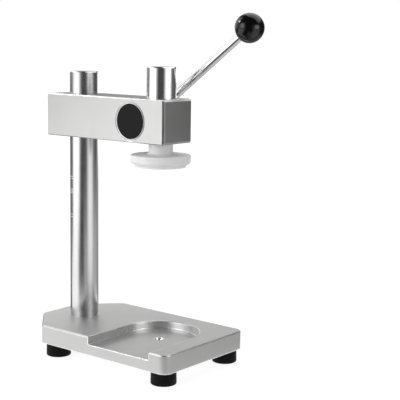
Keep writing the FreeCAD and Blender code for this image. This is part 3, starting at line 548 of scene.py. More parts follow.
@dataclass(frozen=True)
class Finish(ABC):
    """A surface's make-up, from which its material is built.

    Attributes:
        name: The finish's name, which the material takes.
        colour: The colour, as linear red, green and blue.
        roughness: How rough it is on the whole, from 0 to 1.
        roughness_spread: How much the roughness varies over the surface.
        grain_size: The grain's size.
        grain_depth: The grain's depth.
        lay: The axis of its tool marks, or None where it has none.
        lay_centre: A point on that axis.
        line_spacing: The distance between the marks.
        line_depth: Their depth.
        smudge: How much roughness the handling marks add.
        darkest: How dark the darkest clouds of shade are, where 1 is the colour itself.
    """

    name: str
    colour: Triple
    roughness: float
    roughness_spread: float = 0.06
    grain_size: float = 0.3 * MM
    grain_depth: float = 0.01 * MM
    lay: Lay | None = None
    lay_centre: Triple = ORIGIN
    line_spacing: float = 0.2 * MM
    line_depth: float = 0.0015 * MM
    smudge: float = 0.04
    darkest: float = 0.965

    @abstractmethod
    def constants(self) -> dict[str, object]:
        """Gives the shader's plain values, by the names of its sockets."""

    def adapt(self, look: Look) -> None:
        """Adds what only this kind of finish has."""

    def marks_height(self, sheet: Sheet, place: Socket) -> Socket:
        """Gives the height of the tool marks.

        Args:
            sheet: The material's sheet.
            place: The object's coordinates.

        Returns:
            The height.
        """
        lines = sheet.effect(
            lathe_lines_effect(),
            vector=place,
            centre=self.lay_centre,
            axis=self.lay.value,
            lines_per_metre=1.0 / self.line_spacing,
        )
        return sheet.product(lines[0], self.line_depth)

    def build(self) -> bpy.types.Material:
        """Builds the material from its grain, handling marks and tool marks, and its own part.

        Returns:
            The material.
        """
        material, sheet = material_sheet(self.name)
        place = sheet.place()
        grain, drift = sheet.effect(grain_effect(), vector=place, grains_per_metre=1.0 / self.grain_size)
        marks = sheet.effect(handling_effect(), vector=place)[0]
        shade = sheet.ramp(drift, 0.3, 0.7, self.darkest, 1.0)
        tint = sheet.node("ShaderNodeCombineColor", {0: shade, 1: shade, 2: shade}).outputs[0]
        colour = sheet.colours(1.0, (*self.colour, 1.0), tint, "MULTIPLY")
        smoothest = self.roughness - self.roughness_spread
        roughness = sheet.maths("MULTIPLY_ADD", drift, 2.0 * self.roughness_spread, smoothest)
        roughness = sheet.maths("MULTIPLY_ADD", marks, self.smudge, roughness, clamp=True)
        height = sheet.product(grain, self.grain_depth)
        if self.lay is not None:
            height = sheet.maths("ADD", height, self.marks_height(sheet, place))
        look = Look(sheet, place, colour, roughness, height)
        self.adapt(look)
        bump = sheet.node("ShaderNodeBump", {"Height": look.height, "Distance": 1.0, "Strength": 1.0})
        if look.normal is not None:
            sheet.feed(bump.inputs["Normal"], look.normal)
        fed = {"Base Color": look.colour, "Roughness": look.roughness, "Normal": bump.outputs[0]}
        shader = sheet.node("ShaderNodeBsdfPrincipled", fed | self.constants())
        sheet.node("ShaderNodeOutputMaterial", {"Surface": shader.outputs[0]})
        return material


@dataclass(frozen=True)
class MetalFinish(Finish):
    """A bare, plated or anodised metal.

    Attributes:
        wear: How much paler the edges are, from 0 to 1, partly worn and partly a painted highlight.
        edge_radius: How far a sharp edge is softened, or 0 to leave it.
        edge_polish: How much smoother the paled edges are.
    """

    wear: float = 0.25
    edge_radius: float = 0.5 * MM
    edge_polish: float = 0.1

    def constants(self) -> dict[str, object]:
        """Gives the shader's plain values, by the names of its sockets."""
        return {"Metallic": 1.0}

    def from_centre(self, look: Look) -> Socket:
        """Gives the place as seen from the point on the tool marks' axis."""
        return look.sheet.vectors("SUBTRACT", look.place, self.lay_centre)

    def adapt(self, look: Look) -> None:
        """Softens the edges and pales them, partly as worn metal and partly as a painted highlight.

        Args:
            look: What feeds the shader.
        """
        if not self.edge_radius:
            return
        edges = look.sheet.effect(edge_wear_and_highlight_effect(), vector=look.place, radius=self.edge_radius)
        worn_and_highlit, look.normal = edges
        # Paler edges: partly worn metal, partly a painted highlight along each edge
        paler = tuple(value + (WHITEST_METAL - value) * self.wear for value in self.colour)
        look.colour = look.sheet.colours(worn_and_highlit, look.colour, (*paler, 1.0))
        look.roughness = look.sheet.maths(
            "MULTIPLY_ADD", worn_and_highlit, -self.edge_polish, look.roughness, clamp=True
        )


@dataclass(frozen=True)
class MarkedColumnFinish(MetalFinish):
    """The column's satin chrome, with short matt index lines that mark arm heights.

    Attributes:
        line_heights: The heights of the lines.
        line_width: How tall a line is.
        line_cut: How deep a line is.
        line_roughness: How rough a line is.
        line_colour: The colour of a line.
        middle: The direction of the lines' middle.
        reach: How far the lines go to each side of it.
        fade: How far their ends fade.
    """

    line_heights: tuple[float, ...] = ()
    line_width: float = 0.7 * MM
    line_cut: float = 0.05 * MM
    line_roughness: float = 0.62
    line_colour: Colour = (0.72, 0.72, 0.71, 1.0)
    middle: float = -118.0
    reach: float = 30.0
    fade: float = 1.5

    def adapt(self, look: Look) -> None:
        """Adds the index lines.

        Args:
            look: What feeds the shader.
        """
        super().adapt(look)
        sheet = look.sheet
        parts = sheet.parts(self.from_centre(look))
        turn = sheet.gap(sheet.maths("ARCTAN2", parts[1], parts[0]), math.radians(self.middle))
        side = sheet.ramp(turn, math.radians(self.reach - self.fade), math.radians(self.reach), 1.0, 0.0)
        edges = 0.4 * self.line_width, 0.6 * self.line_width
        lines = [sheet.ramp(sheet.gap(parts[2], height), *edges, 1.0, 0.0) for height in self.line_heights]
        mask = sheet.product(sheet.most(*lines), side)
        look.colour = sheet.colours(mask, look.colour, self.line_colour)
        look.roughness = sheet.most(look.roughness, sheet.product(mask, self.line_roughness))
        look.height = sheet.maths("MULTIPLY_ADD", mask, -self.line_cut, look.height)


@dataclass(frozen=True)
class RingedArmFinish(MetalFinish):
    """The arm's blasted aluminium, with the bore of the front disc cut bright.

    Attributes:
        ring_radius: How far from the bore's axis the bright metal goes.
        ring_depth: How deep it goes from the front face.
        ring_grey: How bright it is.
        ring_fade: How far its rim fades to each side.
        front: Where the front face lies along Y.
    """

    ring_radius: float = 19.65 * MM
    ring_depth: float = 2.0 * MM
    ring_grey: float = 0.85
    ring_fade: float = 0.1 * MM
    front: float = -22.0 * MM

    def adapt(self, look: Look) -> None:
        """Brightens the bore's mouth.

        Args:
            look: What feeds the shader.
        """
        super().adapt(look)
        sheet = look.sheet
        flat = sheet.vectors("MULTIPLY", self.from_centre(look), (1.0, 0.0, 1.0))
        shallow = sheet.maths("LESS_THAN", sheet.parts(look.place)[1], self.front + self.ring_depth)
        rim = self.ring_radius - self.ring_fade, self.ring_radius + self.ring_fade
        near = sheet.ramp(sheet.vectors("LENGTH", flat), *rim, 1.0, 0.0)
        look.colour = sheet.colours(sheet.product(shallow, near), look.colour, grey(self.ring_grey))


@dataclass(frozen=True)
class MilledPlateFinish(MetalFinish):
    """The plate's blasted aluminium, with a pocket and a hole that were milled afterwards.

    The pocket's floor keeps faint cutter rings. Its walls and the hole's sink are bare metal.

    Attributes:
        floor_height: The height of the pocket's floor.
        top_height: The height of the plate's top.
        half_width: Half the pocket's width with its walls, and its reach to the rear.
        sink_radius: The radius of the hole's sink.
        wall_foot: The heights over the floor where a bare wall starts and is whole.
        wall_head: The heights over the top, so negative, where it starts to end and ends.
        sink_rim: The heights over the floor, so negative, where the sink does the same.
        floor_band: The distances from the floor where its rings start to fade and are gone.
        bare_grey: How bright the bare metal is.
        bare_polish: How much smoother the bare metal is.
    """

    floor_height: float = 24.5 * MM
    top_height: float = 32.5 * MM
    half_width: float = 40.9 * MM
    sink_radius: float = 5.2 * MM
    wall_foot: tuple[float, float] = (0.1 * MM, 0.4 * MM)
    wall_head: tuple[float, float] = (-1.2 * MM, -0.9 * MM)
    sink_rim: tuple[float, float] = (-0.2 * MM, -0.05 * MM)
    floor_band: tuple[float, float] = (0.05 * MM, 0.2 * MM)
    bare_grey: float = 0.93
    bare_polish: float = 0.2

    def adapt(self, look: Look) -> None:
        """Bares the pocket's walls and the hole's sink.

        Args:
            look: What feeds the shader.
        """
        super().adapt(look)
        sheet = look.sheet
        offset = self.from_centre(look)
        across, back, height = sheet.parts(offset)
        aside = sheet.maths("LESS_THAN", sheet.maths("ABSOLUTE", across), self.half_width)
        forward = sheet.maths("LESS_THAN", back, self.half_width)
        from_floor = sheet.maths("SUBTRACT", height, self.floor_height)
        from_top = sheet.maths("SUBTRACT", height, self.top_height)
        above = sheet.ramp(from_floor, *self.wall_foot, 0.0, 1.0)
        below = sheet.ramp(from_top, *self.wall_head, 1.0, 0.0)
        wall = sheet.product(above, below, aside, forward)
        flat = sheet.vectors("MULTIPLY", offset, (1.0, 1.0, 0.0))
        central = sheet.maths("LESS_THAN", sheet.vectors("LENGTH", flat), self.sink_radius)
        sunk = sheet.ramp(from_floor, *self.sink_rim, 1.0, 0.0)
        bare = sheet.most(wall, sheet.product(central, sunk))
        look.colour = sheet.colours(bare, look.colour, grey(self.bare_grey))
        look.roughness = sheet.maths("MULTIPLY_ADD", bare, -self.bare_polish, look.roughness)

    def marks_height(self, sheet: Sheet, place: Socket) -> Socket:
        """Gives the height of the cutter rings, on the pocket's floor only.

        Args:
            sheet: The material's sheet.
            place: The object's coordinates.

        Returns:
            The height.
        """
        away = sheet.gap(sheet.parts(place)[2], self.floor_height)
        on_floor = sheet.ramp(away, *self.floor_band, 1.0, 0.0)
        return sheet.product(super().marks_height(sheet, place), on_floor)


@dataclass(frozen=True)
class PlasticFinish(Finish):
    """A moulded or turned plastic, or a rubber.

    Attributes:
        dust: How much settled dust shows, from 0 to 1.
        dust_colour: The dust's colour.
        see_into: How much light passes under the surface, from 0 to 1.
        see_depth: How far it passes.
        gloss: How strongly the surface mirrors, where 0.5 is usual.
    """

    line_spacing: float = 0.25 * MM
    line_depth: float = 0.0
    smudge: float = 0.03
    darkest: float = 0.94
    dust: float = 0.0
    dust_colour: Colour = (0.55, 0.54, 0.52, 1.0)
    see_into: float = 0.0
    see_depth: float = 2.0 * MM
    gloss: float = 0.5

    def constants(self) -> dict[str, object]:
        """Gives the shader's plain values, by the names of its sockets."""
        return {
            "Subsurface Weight": self.see_into,
            "Subsurface Radius": even(1.0),
            "Subsurface Scale": self.see_depth,
            "Specular IOR Level": self.gloss,
        }

    def adapt(self, look: Look) -> None:
        """Adds the dust.

        Args:
            look: What feeds the shader.
        """
        if self.dust:
            settled = look.sheet.effect(dust_effect(), vector=look.place)[0]
            share = look.sheet.product(settled, self.dust)
            look.colour = look.sheet.colours(share, look.colour, self.dust_colour)


class Finishes:
    """Every finish of the machine, built once and kept by name."""

    def __init__(self) -> None:
        """Builds the materials.

        After a finish's colour come its roughness and the spread of it, and then the grain's
        size and depth.
        """
        ram_axis = {"lay": Lay.UPRIGHT, "lay_centre": NodeBox("press_head").at_height(0.0)}
        column_axis = {"lay": Lay.UPRIGHT, "lay_centre": NodeBox("column_washer").at_height(0.0)}
        shaft = tuple(NodeBox("pinion_shaft").middle)
        shaft_axis = {"lay": Lay.CROSSWISE, "lay_centre": shaft}
        # Blasted metal edges pale fully: mostly a painted highlight along them, partly worn metal
        blasted = {"roughness_spread": 0.03, "grain_depth": 0.005 * MM, "wear": 1.0}
        aluminium = {"colour": (0.51, 0.51, 0.506), **blasted}
        chrome = {"colour": even(0.93), "roughness_spread": 0.015, "grain_depth": 0.0, "smudge": 0.03}
        made = [
            MilledPlateFinish(
                "plate_aluminium",
                roughness=0.47,
                edge_radius=1.4 * MM,
                edge_polish=0.2,
                **aluminium,
                **ram_axis,
            ),
            RingedArmFinish("anodised_aluminium", roughness=0.35, lay_centre=shaft, **aluminium),
            MarkedColumnFinish(
                "satin_chrome",
                even(0.66),
                0.24,
                0.02,
                grain_depth=0.0015 * MM,
                edge_radius=0.0,
                line_heights=(0.1835, 0.1815, 0.1700, 0.1680, 0.1660, 0.1430, 0.1405),
                **column_axis,
            ),
            MetalFinish("hub_chrome", even(0.70), 0.2, 0.03, edge_radius=0.0, **shaft_axis),
            MetalFinish("polished_chrome", roughness=0.11, edge_radius=0.0, **chrome),
            MetalFinish("ground_chrome", roughness=0.17, edge_radius=0.0, **chrome),
            MetalFinish("bare_ring", even(0.76), 0.34, 0.03, edge_radius=0.0, **shaft_axis),
            MetalFinish("zinc_steel", (0.72, 0.74, 0.76), 0.3, 0.06),
            MetalFinish("black_steel", (0.035, 0.035, 0.037), 0.42, 0.06, wear=0.15),
            MetalFinish("machined_steel", (0.62, 0.61, 0.60), 0.24, 0.05, **shaft_axis),
            MetalFinish("spring_steel", (0.36, 0.37, 0.40), 0.28, 0.06),
            MetalFinish("bronze", (0.62, 0.40, 0.19), 0.32, 0.06),
            MetalFinish("brass", (0.74, 0.56, 0.26), 0.27, 0.05),
            PlasticFinish("rubber", even(0.006), 0.6, 0.06, 0.5 * MM, 0.02 * MM, dust=0.004, gloss=0.08),
            PlasticFinish(
                "black_plastic", even(0.008), 0.45, 0.05, 0.4 * MM, 0.005 * MM, dust=0.005, gloss=0.1
            ),
            PlasticFinish("gloss_black_plastic", even(0.003), 0.06, 0.02, 2.0 * MM, 0.0, gloss=0.4),
            PlasticFinish(
                "white_nylon",
                even(0.90),
                0.5,
                0.04,
                0.6 * MM,
                0.004 * MM,
                line_depth=0.003 * MM,
                see_into=0.2,
                **ram_axis,
            ),
        ]
        self.materials = {finish.name: finish.build() for finish in made}

    def on_node(self, node: str, name: str) -> str:
        """Puts a finish on a CAD node.

        Args:
            node: The node's name.
            name: The finish.

        Returns:
            A line that says what was done.
        """
        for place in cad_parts[node].material_slots:
            place.material = self.materials[name]
        return f"{node}: {name}"


# Sub-assemblies


@dataclass(frozen=True)
class Piece:
    """A new piece that stands for a CAD node.

    Attributes:
        name: The piece's name.
        surface: Its points and faces.
        finish: The finish it wears.
        body: The CAD body that it moves with.
        node: The CAD node that it stands for.
        slot: A slot name for its finish, which is not used.
    """

    name: str
    surface: Surface
    finish: str
    body: str
    node: str
    slot: str

    def make(self, finishes: Finishes) -> str:
        """Makes the piece.

        Args:
            finishes: The built finishes.

        Returns:
            A line that says what was made.
        """
        piece = mesh_object(self.name, self.surface, finishes.materials[self.finish])
        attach(piece, self.body)
        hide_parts(self.node)
        return f"{self.name} for {self.node}: {self.finish}"


@dataclass
class SubAssembly:
    """A group of pieces that is built and dressed together."""

    NODE_FINISHES: ClassVar[dict[str, str]] = {}

    def pieces(self) -> list[Piece]:
        """Lists the new pieces, which are none unless a sub-assembly says otherwise."""
        return []

    def build(self, finishes: Finishes) -> list[str]:
        """Dresses the CAD nodes and makes the new pieces.

        Args:
            finishes: The built finishes.

        Returns:
            A line for each node and piece.
        """
        dressed = [finishes.on_node(node, name) for node, name in self.NODE_FINISHES.items()]
        return dressed + [piece.make(finishes) for piece in self.pieces()]


@dataclass(frozen=True)
class ScrewWell:
    """A screw's hole with a wide well at its lower end, both turned with the piece."""

    radius: float
    depth: float
    hole_radius: float

    def corners(self, top: float) -> list[tuple[float, float]]:
        """Lists the corners from the hole's top down to the well's mouth at height 0."""
        well = [(self.radius, self.depth), (self.radius, 0.0)]
        return [(self.hole_radius, top), (self.hole_radius, self.depth), *well]


@dataclass
class FootedPlate(SubAssembly):
    """The plate on its four rubber feet, with their fixings.

    A foot is narrower by its draft at its top than at its widest. The groove is as deep as
    half its width. The roundings are in millimetres, from the sole's rim on.
    """

    NODE_FINISHES: ClassVar[dict[str, str]] = {
        "base_plate": "plate_aluminium",
        "foot_screws": "zinc_steel",
        "foot_washers": "zinc_steel",
    }
    CORNERS: ClassVar[tuple[str, ...]] = ("column_front", "column_rear", "can_front", "can_rear")

    foot_draft: float = 0.25 * MM
    well: ScrewWell = ScrewWell(6.5 * MM, 7.5 * MM, 2.55 * MM)
    groove: float = 0.6 * MM
    roundings: tuple[float, ...] = (1.2, 0.5, 0.1, 0.1, 0.3, 0.5, 0.15, 0.15, 0.15, 0.15)

    def foot(self, node: str) -> Surface:
        """Turns a moulded foot: a tapered side, a rounded sole with a ring groove, and a well.

        Args:
            node: The CAD foot that it stands for.

        Returns:
            Points and faces.
        """
        box = NodeBox(node)
        ring = (box.radius + self.well.radius) / 2.0
        corners = [
            (box.radius, 0.0),
            (box.radius - self.foot_draft, box.size.z),
            *self.well.corners(box.size.z),
            (ring - self.groove, 0.0),
            (ring - 0.5 * self.groove, self.groove),
            (ring + 0.5 * self.groove, self.groove),
            (ring + self.groove, 0.0),
        ]
        return turned_ring(rounded(corners, self.roundings, True), Axis(box.at_height(box.low.z), UP))

    def pieces(self) -> list[Piece]:
        """Lists the four feet."""
        nodes = [f"foot_{corner}" for corner in self.CORNERS]
        return [Piece(f"rubber_{node}", self.foot(node), "rubber", "base", node, "rubber") for node in nodes]


@dataclass
class Column(SubAssembly):
    """The column and the bolt that holds it."""

    NODE_FINISHES: ClassVar[dict[str, str]] = {
        "column": "satin_chrome",
        "column_washer": "zinc_steel",
        "column_bolt": "black_steel",
    }


@dataclass
class Arm(SubAssembly):
    """The square arm with its bushes, clamp screws, return spring and front disc.

    The bare metal ring reaches in over the disc's rim by its width, its face slopes inwards,
    and its lip fills the broken edge of the arm's bore. The roundings are in millimetres,
    from the disc's middle on.
    """

    NODE_FINISHES: ClassVar[dict[str, str]] = {
        "arm_block": "anodised_aluminium",
        "clamp_pads": "bronze",
        "clamp_screws": "black_steel",
        "guide_screw": "black_steel",
        "front_bush": "bronze",
        "rear_bush": "bronze",
        "rear_bush_screws": "black_steel",
        "return_spring": "spring_steel",
        "spring_pin": "zinc_steel",
    }

    ring_width: float = 0.3 * MM
    ring_slope: float = 0.2 * MM
    ring_lip: float = 0.5 * MM
    disc_roundings: tuple[float, ...] = (0.1, 0.4, 0.1, 0.1)
    ring_rounding: float = 0.05
    ring_columns: int = 144

    def pieces(self) -> list[Piece]:
        """Turns the black disc and the ring round it, whose face slopes in towards the disc.

        The disc is a flat face with a rounded rim. The ring lies between the disc's rim and
        the arm's bore, and its lip fills the bore's broken edge.

        Returns:
            The two pieces.
        """
        box = NodeBox("front_cap")
        inner = box.radius - self.ring_width
        back = box.size.y
        disc = [(0.0, self.ring_slope), (inner, self.ring_slope), (inner, back), (0.0, back)]
        ring = [
            (inner, self.ring_slope),
            (box.radius + self.ring_lip, 0.0),
            (box.radius, self.ring_lip),
            (box.radius, back),
            (inner, back),
        ]
        axis = Axis((box.middle.x, box.low.y, box.middle.z), CROSSWISE)
        turned_disc = turned_solid(rounded(disc, self.disc_roundings, False), axis)
        rim = rounded(ring, [self.ring_rounding] * len(ring), True)
        bare_ring = turned_ring(rim, axis, self.ring_columns)
        return [
            Piece("front_disc", turned_disc, "black_plastic", "head", "front_cap", "black_plastic"),
            Piece("disc_ring", bare_ring, "bare_ring", "head", "front_cap", "anodised_aluminium"),
        ]


@dataclass
class Lever(SubAssembly):
    """The shaft, its hub, the tapered rod and the ball knob.

    The ball's reach is from the shaft to its middle along the rod, and the shoulder, where the
    rod's spigot ends, is on the same line. The flat's distance is from the ball's middle. The
    insert's room starts and ends behind the flat. The gap is between the rod's shoulder and
    the ball. The roundings are in millimetres, from the hub on and from the insert on.
    """

    NODE_FINISHES: ClassVar[dict[str, str]] = {
        "pinion_shaft": "machined_steel",
        "lever_hub": "hub_chrome",
        "hub_set_screw": "black_steel",
        "hub_end_washer": "zinc_steel",
        "hub_end_screw": "zinc_steel",
        "knob_insert": "brass",
    }

    ball_reach: float = 139.0 * MM
    shoulder: float = 9.0 * MM
    flat_distance: float = 13.2 * MM
    spigot_radius: float = 4.0 * MM
    spigot_length: float = 20.0 * MM
    root_radius: float = 4.75 * MM
    tip_radius: float = 4.2 * MM
    taper_rings: int = 60
    thread_radius: float = 3.0 * MM
    thread_length: float = 12.0 * MM
    rod_gap: float = 0.05 * MM
    hole_radius: float = 3.05 * MM
    insert_start: float = 1.0 * MM
    insert_radius: float = 5.05 * MM
    insert_end: float = 15.0 * MM
    arc_points: int = 49
    rod_columns: int = 72
    ball_columns: int = 128
    rod_roundings: tuple[float, ...] = (0.1, 0.4, 0.1, 0.3, 0.25, 0.1, 0.4, 0.1)
    ball_roundings: tuple[float, ...] = (0.1, 0.3, 0.1, 0.1, 0.15, 0.35, 0.1)

    def rod(self) -> Surface:
        """Turns the rod: a spigot, a shoulder, a long taper and a thread, each edge broken.

        Returns:
            Points and faces.
        """
        start = NodeBox("ball_knob").middle - Vector(Lay.LEVER.value) * (self.ball_reach - self.shoulder)
        length = self.ball_reach - self.flat_distance - self.rod_gap - self.shoulder
        corners = [
            (0.0, -self.spigot_length),
            (self.spigot_radius, -self.spigot_length),
            (self.spigot_radius, 0.0),
            (self.root_radius, 0.0),
            (self.tip_radius, length),
            (self.thread_radius, length),
            (self.thread_radius, length + self.thread_length),
            (0.0, length + self.thread_length),
        ]
        profile = rounded(corners, self.rod_roundings, False)
        longest = int(np.argmax(np.linalg.norm(np.diff(profile, axis=0), axis=1)))
        taper = np.linspace(profile[longest], profile[longest + 1], self.taper_rings)
        profile = np.vstack([profile[:longest], taper, profile[longest + 2:]])
        return turned_solid(profile, Axis(tuple(start), Lay.LEVER.value), self.rod_columns)

    def ball(self) -> Surface:
        """Turns the ball: the insert's hole, a small flat, and the arc of a circle to the far pole.

        Returns:
            Points and faces.
        """
        box = NodeBox("ball_knob")
        flat_radius = math.sqrt(box.radius**2 - self.flat_distance**2)
        turn = np.linspace(-math.asin(self.flat_distance / box.radius), math.pi / 2.0, self.arc_points)
        arc = np.stack([np.cos(turn), np.sin(turn)], axis=1) * box.radius
        deep, shallow = self.insert_end - self.flat_distance, self.insert_start - self.flat_distance
        corners = [
            (0.0, deep),
            (self.insert_radius, deep),
            (self.insert_radius, shallow),
            (self.hole_radius, shallow),
            (self.hole_radius, -self.flat_distance),
            (flat_radius, -self.flat_distance),
            tuple(arc[2]),
        ]
        profile = np.vstack([rounded(corners, self.ball_roundings, False), arc[3:]])
        profile[-1, 0] = 0.0
        return turned_solid(profile, Axis(tuple(box.middle), Lay.LEVER.value), self.ball_columns)

    def pieces(self) -> list[Piece]:
        """Lists the rod and the ball."""
        rod, ball = "polished_chrome", "gloss_black_plastic"
        return [
            Piece("tapered_rod", self.rod(), rod, "lever", "lever_rod", rod),
            Piece("polished_ball", self.ball(), ball, "lever", "ball_knob", ball),
        ]


@dataclass
class PressRam(SubAssembly):
    """The toothed ram and the nylon press head.

    The boss stands below the flange, which reaches past it. The roundings are in
    millimetres, from the boss's rim on.
    """

    NODE_FINISHES: ClassVar[dict[str, str]] = {
        "ram": "ground_chrome",
        "press_head_washer": "zinc_steel",
        "press_head_screw": "zinc_steel",
    }

    neck_radius: float = 12.25 * MM
    boss_height: float = 3.0 * MM
    flange_past_boss: float = 4.5 * MM
    flange_thickness: float = 9.1 * MM
    well: ScrewWell = ScrewWell(7.5 * MM, 10.5 * MM, 4.05 * MM)
    roundings: tuple[float, ...] = (0.7, 0.4, 3.0, 0.9, 2.5, 0.3, 0.1, 0.1, 0.2, 0.5)
    columns: int = 144

    def pieces(self) -> list[Piece]:
        """Turns the head: a boss, a wide flange with rounded edges, and a neck.

        Returns:
            The one piece.
        """
        box = NodeBox("press_head")
        boss_radius = box.radius - self.flange_past_boss
        flange_top = self.boss_height + self.flange_thickness
        corners = [
            (boss_radius, 0.0),
            (boss_radius, self.boss_height),
            (box.radius, self.boss_height),
            (box.radius, flange_top),
            (self.neck_radius, flange_top),
            (self.neck_radius, box.size.z),
            *self.well.corners(box.size.z),
        ]
        profile = rounded(corners, self.roundings, True)
        head = turned_ring(profile, Axis(box.at_height(box.low.z), UP), self.columns)
        return [Piece("turned_press_head", head, "white_nylon", "ram", "press_head", "white_nylon")]


# Studio


def direction(bearing: float, elevation: float = 0.0) -> Vector:
    """Finds the direction at a bearing and an elevation."""
    turn, rise = math.radians(bearing), math.radians(elevation)
    return Vector((math.cos(turn) * math.cos(rise), math.sin(turn) * math.cos(rise), math.sin(rise)))


@dataclass(frozen=True)
class StudioCamera:
    """The camera, at the photograph's viewing angle.

    It looks along its bearing, down by its pitch, and leans by its roll. The focal length is in
    pixels of the picture and the sensor's width in millimetres.
    """

    place: Triple = (0.718437, -0.807568, 0.333191)
    bearing: float = 128.583
    pitch: float = 8.751
    roll: float = 0.852
    focal_pixels: float = 1072.058
    sensor_width: float = 36.0
    nearest: float = 0.05
    farthest: float = 60.0

    def build(self) -> None:
        """Makes the camera and gives it to the scene."""
        data = bpy.data.cameras.new("studio_camera")
        data.sensor_width = self.sensor_width
        data.lens = self.sensor_width * self.focal_pixels / PICTURE_SIDE
        data.clip_start = self.nearest
        data.clip_end = self.farthest
        forward = direction(self.bearing, -self.pitch)
        level = direction(self.bearing - 90.0)
        upright = level.cross(forward)
        roll = math.radians(self.roll)
        right = level * math.cos(roll) + upright * math.sin(roll)
        above = upright * math.cos(roll) - level * math.sin(roll)
        turn = Matrix((right, above, -forward)).transposed().to_4x4()
        camera = placed("studio_camera", data)
        camera.matrix_world = Matrix.Translation(self.place) @ turn
        bpy.context.scene.camera = camera


@dataclass(frozen=True)
class SoftLamp:
    """A large soft lamp, at a bearing and an elevation from the point that it faces.

    Its brightness is its radiance. Metal mirrors the tent in its place, unless it is mirrored
    itself.
    """

    name: str
    bearing: float
    elevation: float
    distance: float
    width: float
    height: float
    brightness: float
    mirrored: bool = False

    def build(self, target: Vector) -> None:
        """Makes the lamp, turned towards a point.

        Args:
            target: The point that it faces.
        """
        away = direction(self.bearing, self.elevation)
        data = bpy.data.lights.new(self.name, "AREA")
        data.shape = "RECTANGLE"
        data.size = self.width
        data.size_y = self.height
        data.energy = self.brightness * math.pi * self.width * self.height
        lamp = placed(self.name, data)
        turn = (-away).to_track_quat("-Z", "Y").to_matrix().to_4x4()
        lamp.matrix_world = Matrix.Translation(target + away * self.distance) @ turn
        lamp.visible_camera = False
        lamp.visible_glossy = self.mirrored


@dataclass(frozen=True)
class Panel:
    """A bright panel of the light tent, as metal mirrors it.

    Its place and half sizes are angles, and so is its softness, the width of its fading rim.
    Its brightness is its radiance.
    """

    bearing: float
    half_width: float
    elevation: float
    half_height: float
    softness: float
    brightness: float


PANEL_SOCKETS = (
    "Seen Bearing", "Seen Elevation", "Bearing", "Half Width", "Elevation", "Half Height", "Softness"
)


@shared_effect("tent_panel", dict.fromkeys(PANEL_SOCKETS, "Float"), {"Mask": "Float"})
def panel_effect(sheet: Sheet, seen_bearing: Socket, seen_elevation: Socket, *panel: Socket) -> Sockets:
    """Makes the mask of one soft-edged panel.

    The mask is the product of two soft steps: one of the distance in bearing from the
    panel's middle, taken the short way round, and one of the distance in elevation.

    Args:
        sheet: The group's sheet.
        seen_bearing: The bearing of the point that is mirrored.
        seen_elevation: Its elevation.
        *panel: The panel's sizes, in the order of PANEL_SOCKETS.

    Returns:
        The mask.
    """
    bearing, half_width, elevation, half_height, softness = panel
    short_way = sheet.maths("WRAP", sheet.maths("SUBTRACT", seen_bearing, bearing), 180.0, -180.0)
    masks = []
    for distance, half in (
        (sheet.maths("ABSOLUTE", short_way), half_width),
        (sheet.gap(seen_elevation, elevation), half_height),
    ):
        past_rim = sheet.maths("DIVIDE", sheet.maths("SUBTRACT", distance, half), softness)
        masks.append(sheet.ramp(past_rim, -0.5, 0.5, 1.0, 0.0))
    return (sheet.product(*masks),)


